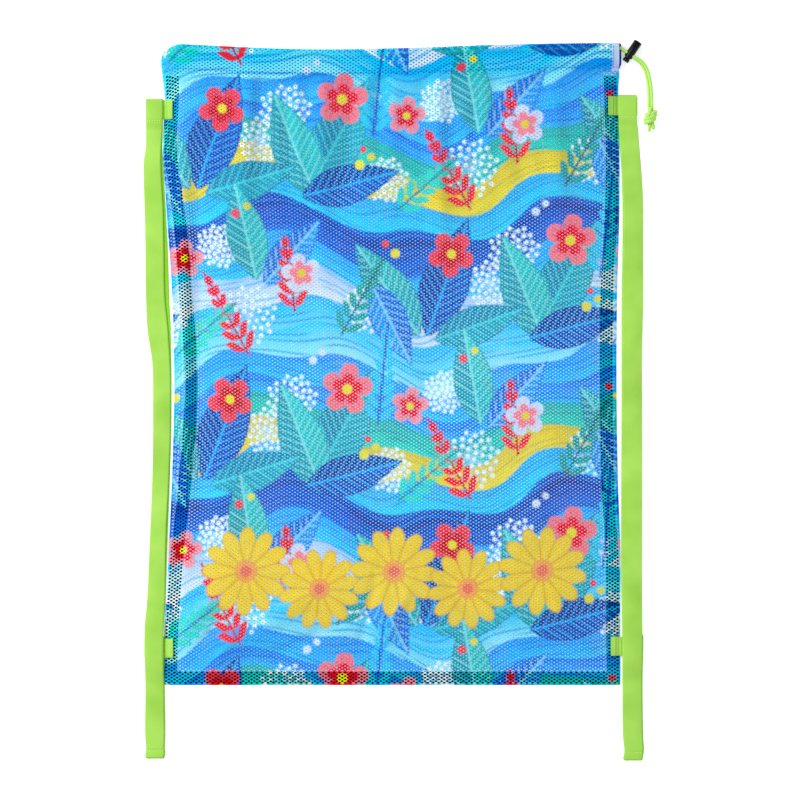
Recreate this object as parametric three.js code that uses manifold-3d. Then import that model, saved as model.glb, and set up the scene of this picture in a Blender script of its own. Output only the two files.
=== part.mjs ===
// Mesh equipment bag: a drawstring backpack sewn from two mesh panels, lying flat on its back.
// Millimetres. X runs across the bag, Y towards its mouth and Z up from the surface it lies on.
// The origin is the middle of the back panel's underside.

import * as THREE from 'three';
import { mergeVertices } from 'three/addons/utils/BufferGeometryUtils.js';
import Module from 'manifold-3d';

const { clamp, lerp, smoothstep, degToRad } = THREE.MathUtils;
const wasm = await Module();
wasm.setup();

// Cloth, webbing, cord and clearances
const CLOTH = 1.0; // wall of a mesh panel
const TAPE = 0.8; // thickness of the seam binding
const TAPE_WIDTH = 13;
const WEBBING = 1.2; // thickness of a strap or tab
const WEBBING_WIDTH = 19;
const CORD = 3.3; // diameter of the drawcord
const GAP = 0.3; // between pieces that touch

// Bag
const BOTTOM = -327.5; // the bottom seam
const HALF_WIDTH = 233; // half the width at the mouth
const SEAM_HEIGHT = CLOTH + TAPE + 2 * GAP; // underside of the front panel at a bound seam
const LOFT = 12; // how far the front panel stands above its seams
const RISE = 80; // distance from a seam in which it gets there

// Drawcord casings: each panel is folded inwards at the mouth and sewn down
const HEM = 26.5; // depth of the hem
const TUNNEL = CORD + 2 * GAP; // clear height inside it
const CASING = TUNNEL + 2 * CLOTH; // thickness of the hem round the cord
const LEVEL = 10; // stretch below the mouth edge in which the tunnel keeps its height
const CASING_RAMP = 56; // stretch in which the front panel climbs to its casing
const MOUTH_GAP = 7; // how far the casings part in the middle of the mouth
const CORD_DROP = 6; // from the mouth edge down to the cord
const TURN_NOTCH = 10; // the hems stop short of the left edge, where the cord turns back
const TURN_INSET = 6; // from the left edge to the start of the turn

// Side edges from the bottom seam to the mouth. The sides bow in at mid height. seamLeft and
// seamRight say how far the bound seam has rolled in from each edge.
const SIDES = [
  { y: BOTTOM, left: -233, right: 233, seamLeft: 1, seamRight: 1 },
  { y: -281, left: -232.5, right: 232.5, seamLeft: 1, seamRight: 1 },
  { y: -200, left: -228, right: 233, seamLeft: 2, seamRight: 2 },
  { y: -118, left: -224.5, right: 230.5, seamLeft: 7, seamRight: 4 },
  { y: -20, left: -222, right: 229, seamLeft: 11, seamRight: 4 },
  { y: 65, left: -224, right: 229.5, seamLeft: 8, seamRight: 4 },
  { y: 167, left: -230.5, right: 232, seamLeft: 5, seamRight: 1.5 },
  { y: 218, left: -233.5, right: 232, seamLeft: 1, seamRight: 1 },
  { y: 269, left: -231.5, right: 230.5, seamLeft: 1, seamRight: 1 },
  { y: 328, left: -232.5, right: 229.5, seamLeft: 1, seamRight: 1 },
];

// Mouth edge, from the rounded left corner to the open right end
const MOUTH = [
  { x: -233, y: 320.5 },
  { x: -222, y: 326 },
  { x: -175, y: 323 },
  { x: -94, y: 320.5 },
  { x: 8, y: 321.5 },
  { x: 110, y: 325 },
  { x: 230, y: 327.5 },
];

// Main folds of the front panel: soft ridges, or furrows where height is negative. turn is the
// direction of the crest in degrees from +X.
const FOLDS = [
  { x: -192, y: 40, turn: 88, length: 260, width: 12, height: -2.0 },
  { x: -170, y: 20, turn: 92, length: 300, width: 24, height: 1.6 },
  { x: 206, y: 0, turn: 90, length: 420, width: 12, height: 1.4 },
  { x: -44, y: 215, turn: 84, length: 120, width: 14, height: -1.8 },
  { x: 30, y: 200, turn: 96, length: 110, width: 16, height: 1.6 },
  { x: 118, y: 232, turn: 100, length: 90, width: 13, height: -1.5 },
  { x: -130, y: -270, turn: 35, length: 110, width: 15, height: 1.6 },
  { x: 82, y: -252, turn: -50, length: 90, width: 13, height: -1.6 },
  { x: 150, y: -130, turn: 70, length: 160, width: 22, height: 1.5 },
  { x: -60, y: -90, turn: 110, length: 180, width: 26, height: 1.5 },
];

// Straps and tabs. outer and inner are the tab's ends across the bag, y is its middle.
const TABS = [
  { name: 'tab_upper_left', y: 259, outer: -251, inner: -223.5 },
  { name: 'tab_upper_right', y: 263, outer: 250, inner: 220.5 },
  { name: 'tab_lower_left', y: -289.5, outer: -252.5, inner: -223 },
  { name: 'tab_lower_right', y: -287.5, outer: 253, inner: 223 },
];
const TAB_WIDTH = 19.5;
const TAB_REST = 2.6; // height of a tab's middle at its outer end
const TAB_CLIMB = 3.8; // and where it leaves the strap
const TAB_CLEAR = 0.9; // from there to the bag's edge
const LAYER = WEBBING + GAP; // from one layer of webbing to the next
const LOOP_LEVEL = 3.3; // layers from the surface to the webbing that passes over a tab

// Middle of each strap across the bag, from the upper loop to the folded lower end
const STRAPS = [
  {
    name: 'strap_left',
    line: [
      { y: 269, x: -243.2 },
      { y: 218, x: -243.8 },
      { y: 116, x: -240.7 },
      { y: 35, x: -237.4 },
      { y: -37, x: -234.2 },
      { y: -200, x: -238.7 },
      { y: -266, x: -243 },
      { y: -330, x: -243.3 },
      { y: -402, x: -241.5 },
    ],
    upperTab: 259,
    lowerTab: -289.5,
    lowerEnd: -401,
  },
  {
    name: 'strap_right',
    line: [
      { y: 272, x: 240.8 },
      { y: 218, x: 242.8 },
      { y: 167, x: 245.8 },
      { y: 65, x: 245.3 },
      { y: -11, x: 244.8 },
      { y: -200, x: 244.7 },
      { y: -278, x: 244.8 },
      { y: -330, x: 244.8 },
      { y: -403, x: 245.5 },
    ],
    upperTab: 263,
    lowerTab: -287.5,
    lowerEnd: -403,
  },
];
const STITCH_TAIL = 12; // webbing that a loop leaves past its tab
const STITCHED = 6; // stretch of it that lies flat under the stitches
const CLIMB = 16; // stretch in which a strap climbs or comes down
const FOLD_CLEAR = 3; // a strap is up this far before the fold of the loop under it
const STRAP_STEP = 40; // longest flat facet of a strap
const CLIMB_STEPS = 4;

// Cord lock: an oval barrel with a spring-loaded plunger, both crossed by the stacked strands
const LOCK_CENTRE = new THREE.Vector3(242.3, 315.3, 5.7);
const LOCK_TURN = degToRad(-123.6); // from +X to the plunger's end
const BARREL = { width: 8.8, height: 11.4, closedEnd: -15.4, openEnd: 3.5 };
const BARREL_WALL = 0.7;
const PLUNGER = { inner: -9.5, outer: 8.6, notchFrom: 4.5, notchTo: 5.3, notchDepth: 0.6 };
const PLUNGER_TRAVEL = 2.5;
const STRAND_RISE = 1.8; // of each strand above or below the middle of the lock
const LOCK_EDGE = 0.5; // rounding of its ends

// Knot of the two strands
const KNOT = { x: 263.3, y: 250.8, z: 5.6, width: 14.8, length: 16, height: 11 };
const KNOT_TAILS = [
  { x: 262, end: 236.4 },
  { x: 266.2, end: 238.8 },
];

// Free strands, from the open end of the casing through the lock to the knot
const FRONT_STRAND = [
  { x: 231.0, y: 321.5, z: 9.1 },
  { x: 232.6, y: 321.3, z: 8.9 },
  { x: 235.0, y: 320.1, z: 8.1 },
  { x: 237.6, y: 318.42, z: 7.5 },
  { x: 242.3, y: 315.3, z: 7.5 },
  { x: 247.0, y: 312.18, z: 7.5 },
  { x: 251.6, y: 309.4, z: 7.0 },
  { x: 256.0, y: 304.9, z: 6.4 },
  { x: 259.6, y: 298.4, z: 5.9 },
  { x: 262.6, y: 285.6, z: 5.6 },
  { x: 264.8, y: 272.3, z: 5.6 },
  { x: 265.3, y: 258.3, z: 5.6 },
];
const BACK_STRAND = [
  { x: 231.0, y: 321.5, z: 2.95 },
  { x: 232.6, y: 321.3, z: 3.05 },
  { x: 235.0, y: 320.1, z: 3.5 },
  { x: 237.6, y: 318.42, z: 3.9 },
  { x: 242.3, y: 315.3, z: 3.9 },
  { x: 247.0, y: 312.18, z: 3.9 },
  { x: 251.4, y: 309.0, z: 3.2 },
  { x: 255.6, y: 304.6, z: 2.3 },
  { x: 259.0, y: 298.2, z: 2.0 },
  { x: 261.4, y: 285.6, z: 2.0 },
  { x: 262.0, y: 272.3, z: 3.4 },
  { x: 261.7, y: 258.3, z: 5.6 },
];

const material = (color, roughness) =>
  new THREE.MeshStandardMaterial({ color, roughness, metalness: 0 });
const PRINTED_MESH = material('#3d8ede', 0.75);
const BLACK_TAPE = material('#15161a', 0.85);
const NEON_WEBBING = material('#a4e052', 0.6);
const NEON_CORD = material('#a8e84e', 0.65);
const BLACK_PLASTIC = material('#17181a', 0.4);

// A smooth function through one column of a table
function column(rows, key, value) {
  const spline = new THREE.CubicInterpolant(
    rows.map((row) => row[key]),
    rows.map((row) => row[value]),
    1,
  );
  return (t) => spline.evaluate(t)[0];
}

const leftEdge = column(SIDES, 'y', 'left');
const rightEdge = column(SIDES, 'y', 'right');
const seamLeft = column(SIDES, 'y', 'seamLeft');
const seamRight = column(SIDES, 'y', 'seamRight');
const mouthEdge = column(MOUTH, 'x', 'y');

// A closed wall between two grids of points, outer[row][column] and inner[row][column]
function wallBetween(outer, inner) {
  const rows = outer.length;
  const columns = outer[0].length;
  const positions = [...outer.flat(), ...inner.flat()].flatMap((p) => [p.x, p.y, p.z]);
  const index = [];
  const quad = (a, b, c, d) => index.push(a, b, c, a, c, d);
  const front = (i, j) => i * columns + j;
  const back = (i, j) => (rows + i) * columns + j;
  for (let i = 0; i + 1 < rows; i++) {
    for (let j = 0; j + 1 < columns; j++) {
      quad(front(i, j), front(i, j + 1), front(i + 1, j + 1), front(i + 1, j));
      quad(back(i, j), back(i + 1, j), back(i + 1, j + 1), back(i, j + 1));
    }
    quad(front(i + 1, 0), back(i + 1, 0), back(i, 0), front(i, 0));
    quad(front(i, columns - 1), back(i, columns - 1), back(i + 1, columns - 1), front(i + 1, columns - 1));
  }
  for (let j = 0; j + 1 < columns; j++) {
    quad(front(0, j), back(0, j), back(0, j + 1), front(0, j + 1));
    quad(front(rows - 1, j + 1), back(rows - 1, j + 1), back(rows - 1, j), front(rows - 1, j));
  }
  const geometry = new THREE.BufferGeometry();
  geometry.setAttribute('position', new THREE.Float32BufferAttribute(positions, 3));
  geometry.setIndex(index);
  return geometry;
}

// Unit normals of a line of points in the YZ or XZ plane, on its left as it advances
function normalsAlong(points, across) {
  return points.map((_, i) => {
    const before = points[Math.max(i - 1, 0)];
    const after = points[Math.min(i + 1, points.length - 1)];
    const run = after[across] - before[across];
    const climb = after.z - before.z;
    const size = Math.hypot(run, climb);
    return { [across]: -climb / size, z: run / size };
  });
}

// Places from 0 to 1 that crowd towards both ends, where the cloth curves most
function crowded(count) {
  return Array.from({ length: count }, (_, i) => {
    const t = i / (count - 1);
    return lerp(t, 0.5 - 0.5 * Math.cos(Math.PI * t), 0.6);
  });
}

const riseFromSeam = (distance) => 1 - (1 - clamp(distance / RISE, 0, 1)) ** 2;

function foldHeight(x, y) {
  let height = 0;
  for (const fold of FOLDS) {
    const turn = degToRad(fold.turn);
    const along = (x - fold.x) * Math.cos(turn) + (y - fold.y) * Math.sin(turn);
    const aside = (y - fold.y) * Math.cos(turn) - (x - fold.x) * Math.sin(turn);
    const fade = Math.exp(-((2 * along / fold.length) ** 4));
    height += fold.height * fade * Math.exp(-((aside / fold.width) ** 2));
  }
  return height;
}

// Underside of the front panel: a low crown between the seams that climbs to its casing
function frontUnderside(x, y) {
  const fromSide = Math.min(x - leftEdge(y), rightEdge(y) - x);
  const crown = riseFromSeam(fromSide) * riseFromSeam(y - BOTTOM);
  const body = SEAM_HEIGHT + crown * (LOFT + foldHeight(x, y));
  const parted = 1 - clamp(Math.abs(x) / HALF_WIDTH, 0, 1) ** 4;
  const casing = 2 * CASING - CLOTH + GAP + MOUTH_GAP * parted;
  const top = mouthEdge(x);
  return lerp(body, casing, smoothstep(y, top - CASING_RAMP, top - LEVEL));
}

// Middle of the outer cloth, before it turns into the hem
const frontMiddle = (x, y) => frontUnderside(x, y) + CLOTH / 2;
const backMiddle = () => CLOTH / 2;

// Distance from the outer cloth to the hem folded inside it
function hemSpacing(belowMouth) {
  return lerp(TUNNEL + CLOTH, CLOTH + GAP, smoothstep(belowMouth, LEVEL, HEM));
}

// The mouth edge above a place in the hem, which the notch at the left has cut short
function hemTop(x) {
  const left = leftEdge(MOUTH[0].y);
  const right = rightEdge(MOUTH[0].y);
  const u = clamp((x - left - TURN_NOTCH) / (right - left - TURN_NOTCH), 0, 1);
  return mouthEdge(lerp(left, right, u));
}

// A panel whose top edge is folded inwards as a casing. facing is 1 for the front panel, whose
// hem lies under it, and -1 for the back panel, whose hem lies on it.
function panel(middle, facing, columns, rows) {
  const foldRadius = (TUNNEL + CLOTH) / 2;
  const foldSteps = 5;
  const hemSteps = 3;
  const lines = crowded(columns).map((u) => {
    const across = (y, notch) => lerp(leftEdge(y) + notch, rightEdge(y), u);
    const top = mouthEdge(across(MOUTH[0].y, 0));
    const foldY = top - CLOTH / 2 - foldRadius;
    const line = crowded(rows).map((v) => {
      const y = lerp(BOTTOM, foldY, v);
      const x = across(y, 0);
      return { x, y, z: middle(x, y) };
    });
    const foldZ = line.at(-1).z - facing * foldRadius;
    for (let step = 1; step <= foldSteps; step++) {
      const angle = Math.PI * (0.5 - step / foldSteps);
      const y = foldY + foldRadius * Math.cos(angle);
      const x = across(y, TURN_NOTCH * step / foldSteps);
      line.push({ x, y, z: foldZ + facing * foldRadius * Math.sin(angle) });
    }
    for (let step = 1; step <= hemSteps; step++) {
      const y = lerp(foldY, top - HEM, step / hemSteps);
      const x = across(y, TURN_NOTCH);
      line.push({ x, y, z: middle(x, y) - facing * hemSpacing(top - y) });
    }
    return line;
  });
  const offset = (side) => lines.map((line) => {
    const normals = normalsAlong(line, 'y');
    return line.map((p, i) => ({
      x: p.x,
      y: p.y + side * normals[i].y * CLOTH / 2,
      z: p.z + side * normals[i].z * CLOTH / 2,
    }));
  });
  return wallBetween(offset(-1), offset(1));
}

// A flat tape between two lines of points at the height of the bound seam
function bindingTape(outerLine, innerLine) {
  const low = CLOTH + GAP;
  const atHeight = (z) => outerLine.map((p, i) => [{ ...p, z }, { ...innerLine[i], z }]);
  return wallBetween(atHeight(low + TAPE), atHeight(low));
}

// The tape of one side seam. inwards is 1 on the left and -1 on the right.
function sideBinding(edge, seam, inwards) {
  const from = BOTTOM + TAPE_WIDTH + 1 + GAP;
  const to = MOUTH[0].y - HEM - GAP;
  const steps = 16;
  const heights = Array.from({ length: steps + 1 }, (_, i) => lerp(from, to, i / steps));
  const line = (inset) => heights.map((y) => ({ x: edge(y) + inwards * (seam(y) + inset), y }));
  return inwards > 0 ? bindingTape(line(0), line(TAPE_WIDTH)) : bindingTape(line(TAPE_WIDTH), line(0));
}

function bottomBinding() {
  const seam = BOTTOM + 1;
  const line = (y) => [{ x: leftEdge(y) + 1, y }, { x: rightEdge(y) - 1, y }];
  return bindingTape(line(seam + TAPE_WIDTH), line(seam));
}

// A round cord along a smooth curve through points
function cord(points, steps) {
  const route = new THREE.CatmullRomCurve3(points.map((p) => new THREE.Vector3(p.x, p.y, p.z)));
  const section = new THREE.Shape();
  section.absarc(0, 0, CORD / 2, 0, 2 * Math.PI);
  return new THREE.ExtrudeGeometry(section, { steps, curveSegments: 4, extrudePath: route });
}

// The cord inside one casing, from the turn at the left to the open right end
function casingRun(middle, facing) {
  const from = leftEdge(MOUTH[0].y) + TURN_INSET + 1.5 * GAP;
  const to = FRONT_STRAND[0].x - 1.5 * GAP;
  const stations = 12;
  const points = Array.from({ length: stations + 1 }, (_, i) => {
    const x = lerp(from, to, i / stations);
    const y = hemTop(x) - CORD_DROP;
    return { x, y, z: middle(x, y) - facing * (TUNNEL + CLOTH) / 2 };
  });
  return cord(points, 22);
}

// The half turn that takes the cord from the front casing to the back one
function casingTurn() {
  const x = leftEdge(MOUTH[0].y) + TURN_INSET;
  const y = hemTop(x) - CORD_DROP;
  const low = backMiddle() + (TUNNEL + CLOTH) / 2;
  const high = frontMiddle(x, y) - (TUNNEL + CLOTH) / 2;
  const radius = (high - low) / 2;
  const stations = 8;
  const points = Array.from({ length: stations + 1 }, (_, i) => {
    const angle = Math.PI * i / stations;
    return { x: x - radius * Math.sin(angle), y, z: low + radius * (1 - Math.cos(angle)) };
  });
  return cord(points, 8);
}

// A band of webbing along a line of points, flat across X for a strap or across Y for a tab
function band(points, along, widthAxis, width) {
  const normals = normalsAlong(points, along);
  const layer = (side) => points.map((p, i) => [-0.5, 0.5].map((half) => ({
    x: p.x,
    y: p.y,
    z: p.z + side * normals[i].z * WEBBING / 2,
    [along]: p[along] + side * normals[i][along] * WEBBING / 2,
    [widthAxis]: p[widthAxis] + half * width,
  })));
  return along === 'x' ? wallBetween(layer(-1), layer(1)) : wallBetween(layer(1), layer(-1));
}

// A tab: it lies in the strap's loop, climbs over the bag's edge and lies on the front panel
function tab({ y, outer, inner }) {
  const outwards = Math.sign(outer);
  const edge = outwards < 0 ? leftEdge(y) : rightEdge(y);
  const strapEdge = edge + outwards * TAB_CLEAR;
  const onPanel = (x) => {
    const reach = [-0.5, 0, 0.5].map((half) => frontUnderside(x, y + half * TAB_WIDTH));
    return Math.max(...reach) + CLOTH + 1.5 * GAP + WEBBING / 2;
  };
  const points = [{ x: outer, y, z: TAB_REST }, { x: strapEdge, y, z: TAB_CLIMB }];
  for (const share of [0, 0.35, 0.7, 1]) {
    const x = lerp(edge, inner, share);
    points.push({ x, y, z: onPanel(x) });
  }
  if (outwards > 0) points.reverse();
  return band(points, 'x', 'y', TAB_WIDTH);
}

// A strap: looped round the upper tab, down the side over the lower tab, folded at its lower
// end and looped round the lower tab from behind. level counts the layers of webbing below it.
function strap({ line, upperTab, lowerTab, lowerEnd }) {
  const across = column([...line].reverse(), 'y', 'x');
  const half = TAB_WIDTH / 2;
  const past = 1;
  const upperTop = upperTab + half + past;
  const upperTail = upperTab - half - STITCH_TAIL;
  const lowerTop = lowerTab + half + past;
  const lowerTail = lowerTab - half - STITCH_TAIL;
  const path = [
    { y: upperTail, level: 0 },
    { y: upperTop, level: 0 },
    { y: upperTop, level: LOOP_LEVEL },
    { y: upperTab - half, level: LOOP_LEVEL },
    { y: upperTail + STITCHED, level: 1 },
    { y: upperTail - past, level: 1 },
    { y: upperTail - past - CLIMB, level: 0 },
    { y: lowerTop + FOLD_CLEAR + CLIMB, level: 0 },
    { y: lowerTop + FOLD_CLEAR, level: LOOP_LEVEL + 1 },
    { y: lowerTab - half, level: LOOP_LEVEL + 1 },
    { y: lowerTail + STITCHED, level: 2 },
    { y: lowerTail - past, level: 2 },
    { y: lowerTail - past - CLIMB, level: 1 },
    { y: lowerEnd, level: 1 },
    { y: lowerEnd, level: 0 },
    { y: lowerTop, level: 0 },
    { y: lowerTop, level: LOOP_LEVEL },
    { y: lowerTab - half, level: LOOP_LEVEL },
    { y: lowerTail + STITCHED, level: 1 },
    { y: lowerTail, level: 1 },
  ];
  const height = (level) => WEBBING / 2 + level * LAYER;
  const points = [];
  path.forEach((row, i) => {
    const last = path[i - 1];
    if (last && last.y === row.y) {
      const way = Math.sign(last.y - path[i - 2].y);
      points.push(...foldArc(row.y, height(last.level), height(row.level), way));
    } else if (last) {
      const isFlat = row.level === last.level;
      const steps = isFlat ? Math.ceil(Math.abs(row.y - last.y) / STRAP_STEP) : CLIMB_STEPS;
      for (let step = 1; step <= steps; step++) {
        const t = step / steps;
        const z = lerp(height(last.level), height(row.level), smoothstep(t, 0, 1));
        points.push({ y: lerp(last.y, row.y, t), z });
      }
    } else {
      points.push({ y: row.y, z: height(row.level) });
    }
  });
  return band(points.map((p) => ({ ...p, x: across(p.y) })), 'y', 'x', WEBBING_WIDTH);
}

// The half circle of a fold at y, from one height to the other
function foldArc(y, from, to, way) {
  const radius = Math.abs(to - from) / 2;
  const steps = 6;
  return Array.from({ length: steps }, (_, i) => {
    const angle = Math.PI * (i + 1) / steps;
    const z = lerp(from, to, (1 - Math.cos(angle)) / 2);
    return { y: y + way * radius * Math.sin(angle), z };
  });
}

// Solids for joining and cutting, and back to a mesh's geometry
function solid(geometry) {
  const bare = geometry.clone();
  bare.deleteAttribute('normal');
  bare.deleteAttribute('uv');
  const merged = mergeVertices(bare, 1e-4);
  const vertProperties = new Float32Array(merged.attributes.position.array);
  const triVerts = new Uint32Array(merged.index.array);
  return new wasm.Manifold(new wasm.Mesh({ numProp: 3, vertProperties, triVerts }));
}

function geometryOf(manifold) {
  const { vertProperties, triVerts } = manifold.getMesh();
  const geometry = new THREE.BufferGeometry();
  geometry.setAttribute('position', new THREE.BufferAttribute(vertProperties, 3));
  geometry.setIndex(new THREE.BufferAttribute(triVerts, 1));
  return geometry;
}

// An oval bar along X between two places, its ends rounded by edge
function ovalBar(width, height, from, to, edge) {
  const oval = new THREE.Shape();
  oval.absellipse(0, 0, width / 2 - edge, height / 2 - edge, 0, 2 * Math.PI);
  const bar = new THREE.ExtrudeGeometry(oval, {
    depth: to - from - 2 * edge,
    curveSegments: 10,
    bevelEnabled: edge > 0,
    bevelThickness: edge,
    bevelSize: edge,
    bevelSegments: 2,
  });
  bar.rotateX(Math.PI / 2);
  bar.rotateZ(Math.PI / 2);
  return bar.translate(from + edge, 0, 0);
}

// The way of the stacked strands across the lock, between two places on its axis
function strandSlot(from, to) {
  const radius = CORD / 2 + GAP;
  const reach = BARREL.width;
  const slot = new THREE.Shape();
  slot.moveTo(from + radius, -STRAND_RISE - radius);
  slot.absarc(to - radius, -STRAND_RISE, radius, -Math.PI / 2, 0);
  slot.absarc(to - radius, STRAND_RISE, radius, 0, Math.PI / 2);
  slot.absarc(from + radius, STRAND_RISE, radius, Math.PI / 2, Math.PI);
  slot.absarc(from + radius, -STRAND_RISE, radius, Math.PI, 1.5 * Math.PI);
  const way = new THREE.ExtrudeGeometry(slot, { depth: 2 * reach, curveSegments: 4, bevelEnabled: false });
  way.rotateX(Math.PI / 2);
  return way.translate(0, reach, 0);
}

const STRAND_WAY = CORD / 2 + GAP;
const CAVITY = { width: BARREL.width - 2 * BARREL_WALL, height: BARREL.height - 2 * BARREL_WALL };

function barrel() {
  const body = solid(ovalBar(BARREL.width, BARREL.height, BARREL.closedEnd, BARREL.openEnd, LOCK_EDGE));
  const depth = PLUNGER.inner - PLUNGER_TRAVEL - GAP;
  const cavity = solid(ovalBar(CAVITY.width, CAVITY.height, depth, BARREL.openEnd + 2, 0));
  return geometryOf(body.subtract(cavity).subtract(solid(strandSlot(-STRAND_WAY, STRAND_WAY))));
}

function plunger() {
  const width = CAVITY.width - 2 * GAP;
  const height = CAVITY.height - 2 * GAP;
  const { inner, outer, notchFrom, notchTo, notchDepth } = PLUNGER;
  const stem = solid(ovalBar(width, height, inner, notchFrom, 0));
  const neck = solid(ovalBar(width - 2 * notchDepth, height - 2 * notchDepth, notchFrom - 1, notchTo + 1, 0));
  const button = solid(ovalBar(width, height, notchTo, outer, LOCK_EDGE));
  const whole = stem.add(neck).add(button);
  return geometryOf(whole.subtract(solid(strandSlot(-STRAND_WAY, STRAND_WAY + PLUNGER_TRAVEL))));
}

// The overhand knot: crossing wraps of doubled cord round a core, with its two tails
function knot() {
  const { x, y, z, width, length, height } = KNOT;
  const core = new THREE.SphereGeometry(0.5, 14, 9).scale(0.8 * width, 0.9 * length, 0.82 * height);
  let whole = solid(core);
  for (const turn of [-32, 32]) {
    const wrap = new THREE.TorusGeometry(0.5 * (height - CORD), 0.55 * CORD, 8, 16);
    wrap.scale(width / height, 1, 1.25);
    wrap.rotateX(Math.PI / 2);
    wrap.rotateZ(degToRad(turn));
    whole = whole.add(solid(wrap));
  }
  for (const tail of KNOT_TAILS) {
    const reach = y - tail.end;
    const stub = new THREE.CylinderGeometry(CORD / 2, CORD / 2, reach, 8);
    stub.translate(tail.x - x, -reach / 2, 0);
    whole = whole.add(solid(stub));
  }
  return geometryOf(whole).translate(x, y, z);
}

const bag = new THREE.Group();

function add(name, geometry, finish, parent = bag) {
  const mesh = new THREE.Mesh(geometry, finish);
  mesh.name = name;
  parent.add(mesh);
}

add('front_panel', panel(frontMiddle, 1, 22, 26), PRINTED_MESH);
add('back_panel', panel(backMiddle, -1, 12, 16), PRINTED_MESH);
add('seam_binding_left', sideBinding(leftEdge, seamLeft, 1), BLACK_TAPE);
add('seam_binding_right', sideBinding(rightEdge, seamRight, -1), BLACK_TAPE);
add('seam_binding_bottom', bottomBinding(), BLACK_TAPE);
TABS.forEach((row) => add(row.name, tab(row), NEON_WEBBING));
STRAPS.forEach((row) => add(row.name, strap(row), NEON_WEBBING));
add('drawcord_front_run', casingRun(frontMiddle, 1), NEON_CORD);
add('drawcord_back_run', casingRun(backMiddle, -1), NEON_CORD);
add('drawcord_turn', casingTurn(), NEON_CORD);
add('drawcord_front_strand', cord(FRONT_STRAND, 18), NEON_CORD);
add('drawcord_back_strand', cord(BACK_STRAND, 18), NEON_CORD);
add('drawcord_knot', knot(), NEON_CORD);

const lock = new THREE.Group();
lock.position.copy(LOCK_CENTRE);
lock.rotation.z = LOCK_TURN;
bag.add(lock);
add('cord_lock_barrel', barrel(), BLACK_PLASTIC, lock);
add('cord_lock_plunger', plunger(), BLACK_PLASTIC, lock);

export default bag;
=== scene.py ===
"""Looks of the mesh equipment bag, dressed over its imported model.

Lengths are millimetres until put_piece turns them into metres. X runs across the bag, Y towards its
mouth and Z up from the floor that it lies on.
"""

import math

import bmesh
import bpy
import numpy as np
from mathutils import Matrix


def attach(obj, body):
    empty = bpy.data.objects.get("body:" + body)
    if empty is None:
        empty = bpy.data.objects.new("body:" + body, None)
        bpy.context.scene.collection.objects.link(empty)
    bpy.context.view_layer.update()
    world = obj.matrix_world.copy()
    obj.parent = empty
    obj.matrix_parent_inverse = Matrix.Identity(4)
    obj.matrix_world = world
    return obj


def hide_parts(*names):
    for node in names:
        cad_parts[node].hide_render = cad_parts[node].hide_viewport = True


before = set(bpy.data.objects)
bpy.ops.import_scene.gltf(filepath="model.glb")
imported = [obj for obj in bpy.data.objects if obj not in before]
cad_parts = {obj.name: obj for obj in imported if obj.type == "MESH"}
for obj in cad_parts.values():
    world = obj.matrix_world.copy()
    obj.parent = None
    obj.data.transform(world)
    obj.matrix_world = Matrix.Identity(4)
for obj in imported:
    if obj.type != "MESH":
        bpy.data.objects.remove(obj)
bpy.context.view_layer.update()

MM = 0.001

# Bag, as in its solids
BOTTOM = -327.5  # the bottom seam
HALF_WIDTH = 233.0
CLOTH = 1.0  # thickness of a panel
SEAM_HEIGHT = 2.4  # underside of the front panel at a sewn edge
LOFT = 12.0  # how far the front panel stands above its seams
RISE = 80.0  # distance from a seam in which it gets there
HEM = 26.5  # depth of the hem that holds the drawcord
TUNNEL = 3.9  # clear height inside it
CASING = 5.9  # thickness of the hem round the cord
LEVEL = 10.0  # stretch below the mouth in which the tunnel keeps its height
CASING_RAMP = 56.0  # stretch in which the front panel climbs to its casing
MOUTH_GAP = 7.0  # how far the casings part in the middle of the mouth
CORD_DROP = 6.0  # from the mouth edge down to the cord
TURN_NOTCH = 10.0  # the hems stop this far short of the left edge
TURN_INSET = 6.0  # from the left edge to the start of the cord's turn
GAP = 0.3  # between pieces that touch
FOLD_RADIUS = (TUNNEL + CLOTH) / 2
CLOTH_LENGTH = 689.0  # of a panel with its fold and hem

# Side edges, and how far the bound seams have rolled in from them
SIDES = np.array([
    # y, left, right, seam in from the left, seam in from the right
    (BOTTOM, -233.0, 233.0, 1.0, 1.0),
    (-281.0, -232.5, 232.5, 1.0, 1.0),
    (-200.0, -228.0, 233.0, 2.0, 2.0),
    (-118.0, -224.5, 230.5, 7.0, 4.0),
    (-20.0, -222.0, 229.0, 11.0, 4.0),
    (65.0, -224.0, 229.5, 8.0, 4.0),
    (167.0, -230.5, 232.0, 5.0, 1.5),
    (218.0, -233.5, 232.0, 1.0, 1.0),
    (269.0, -231.5, 230.5, 1.0, 1.0),
    (328.0, -232.5, 229.5, 1.0, 1.0),
])

# Mouth edge, from the rounded left corner to the open right end
MOUTH = np.array([
    # x, y
    (-233.0, 320.5),
    (-222.0, 325.6),
    (-208.0, 325.4),
    (-175.0, 323.6),
    (-94.0, 320.5),
    (8.0, 321.5),
    (110.0, 325.0),
    (230.0, 327.5),
])

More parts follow.
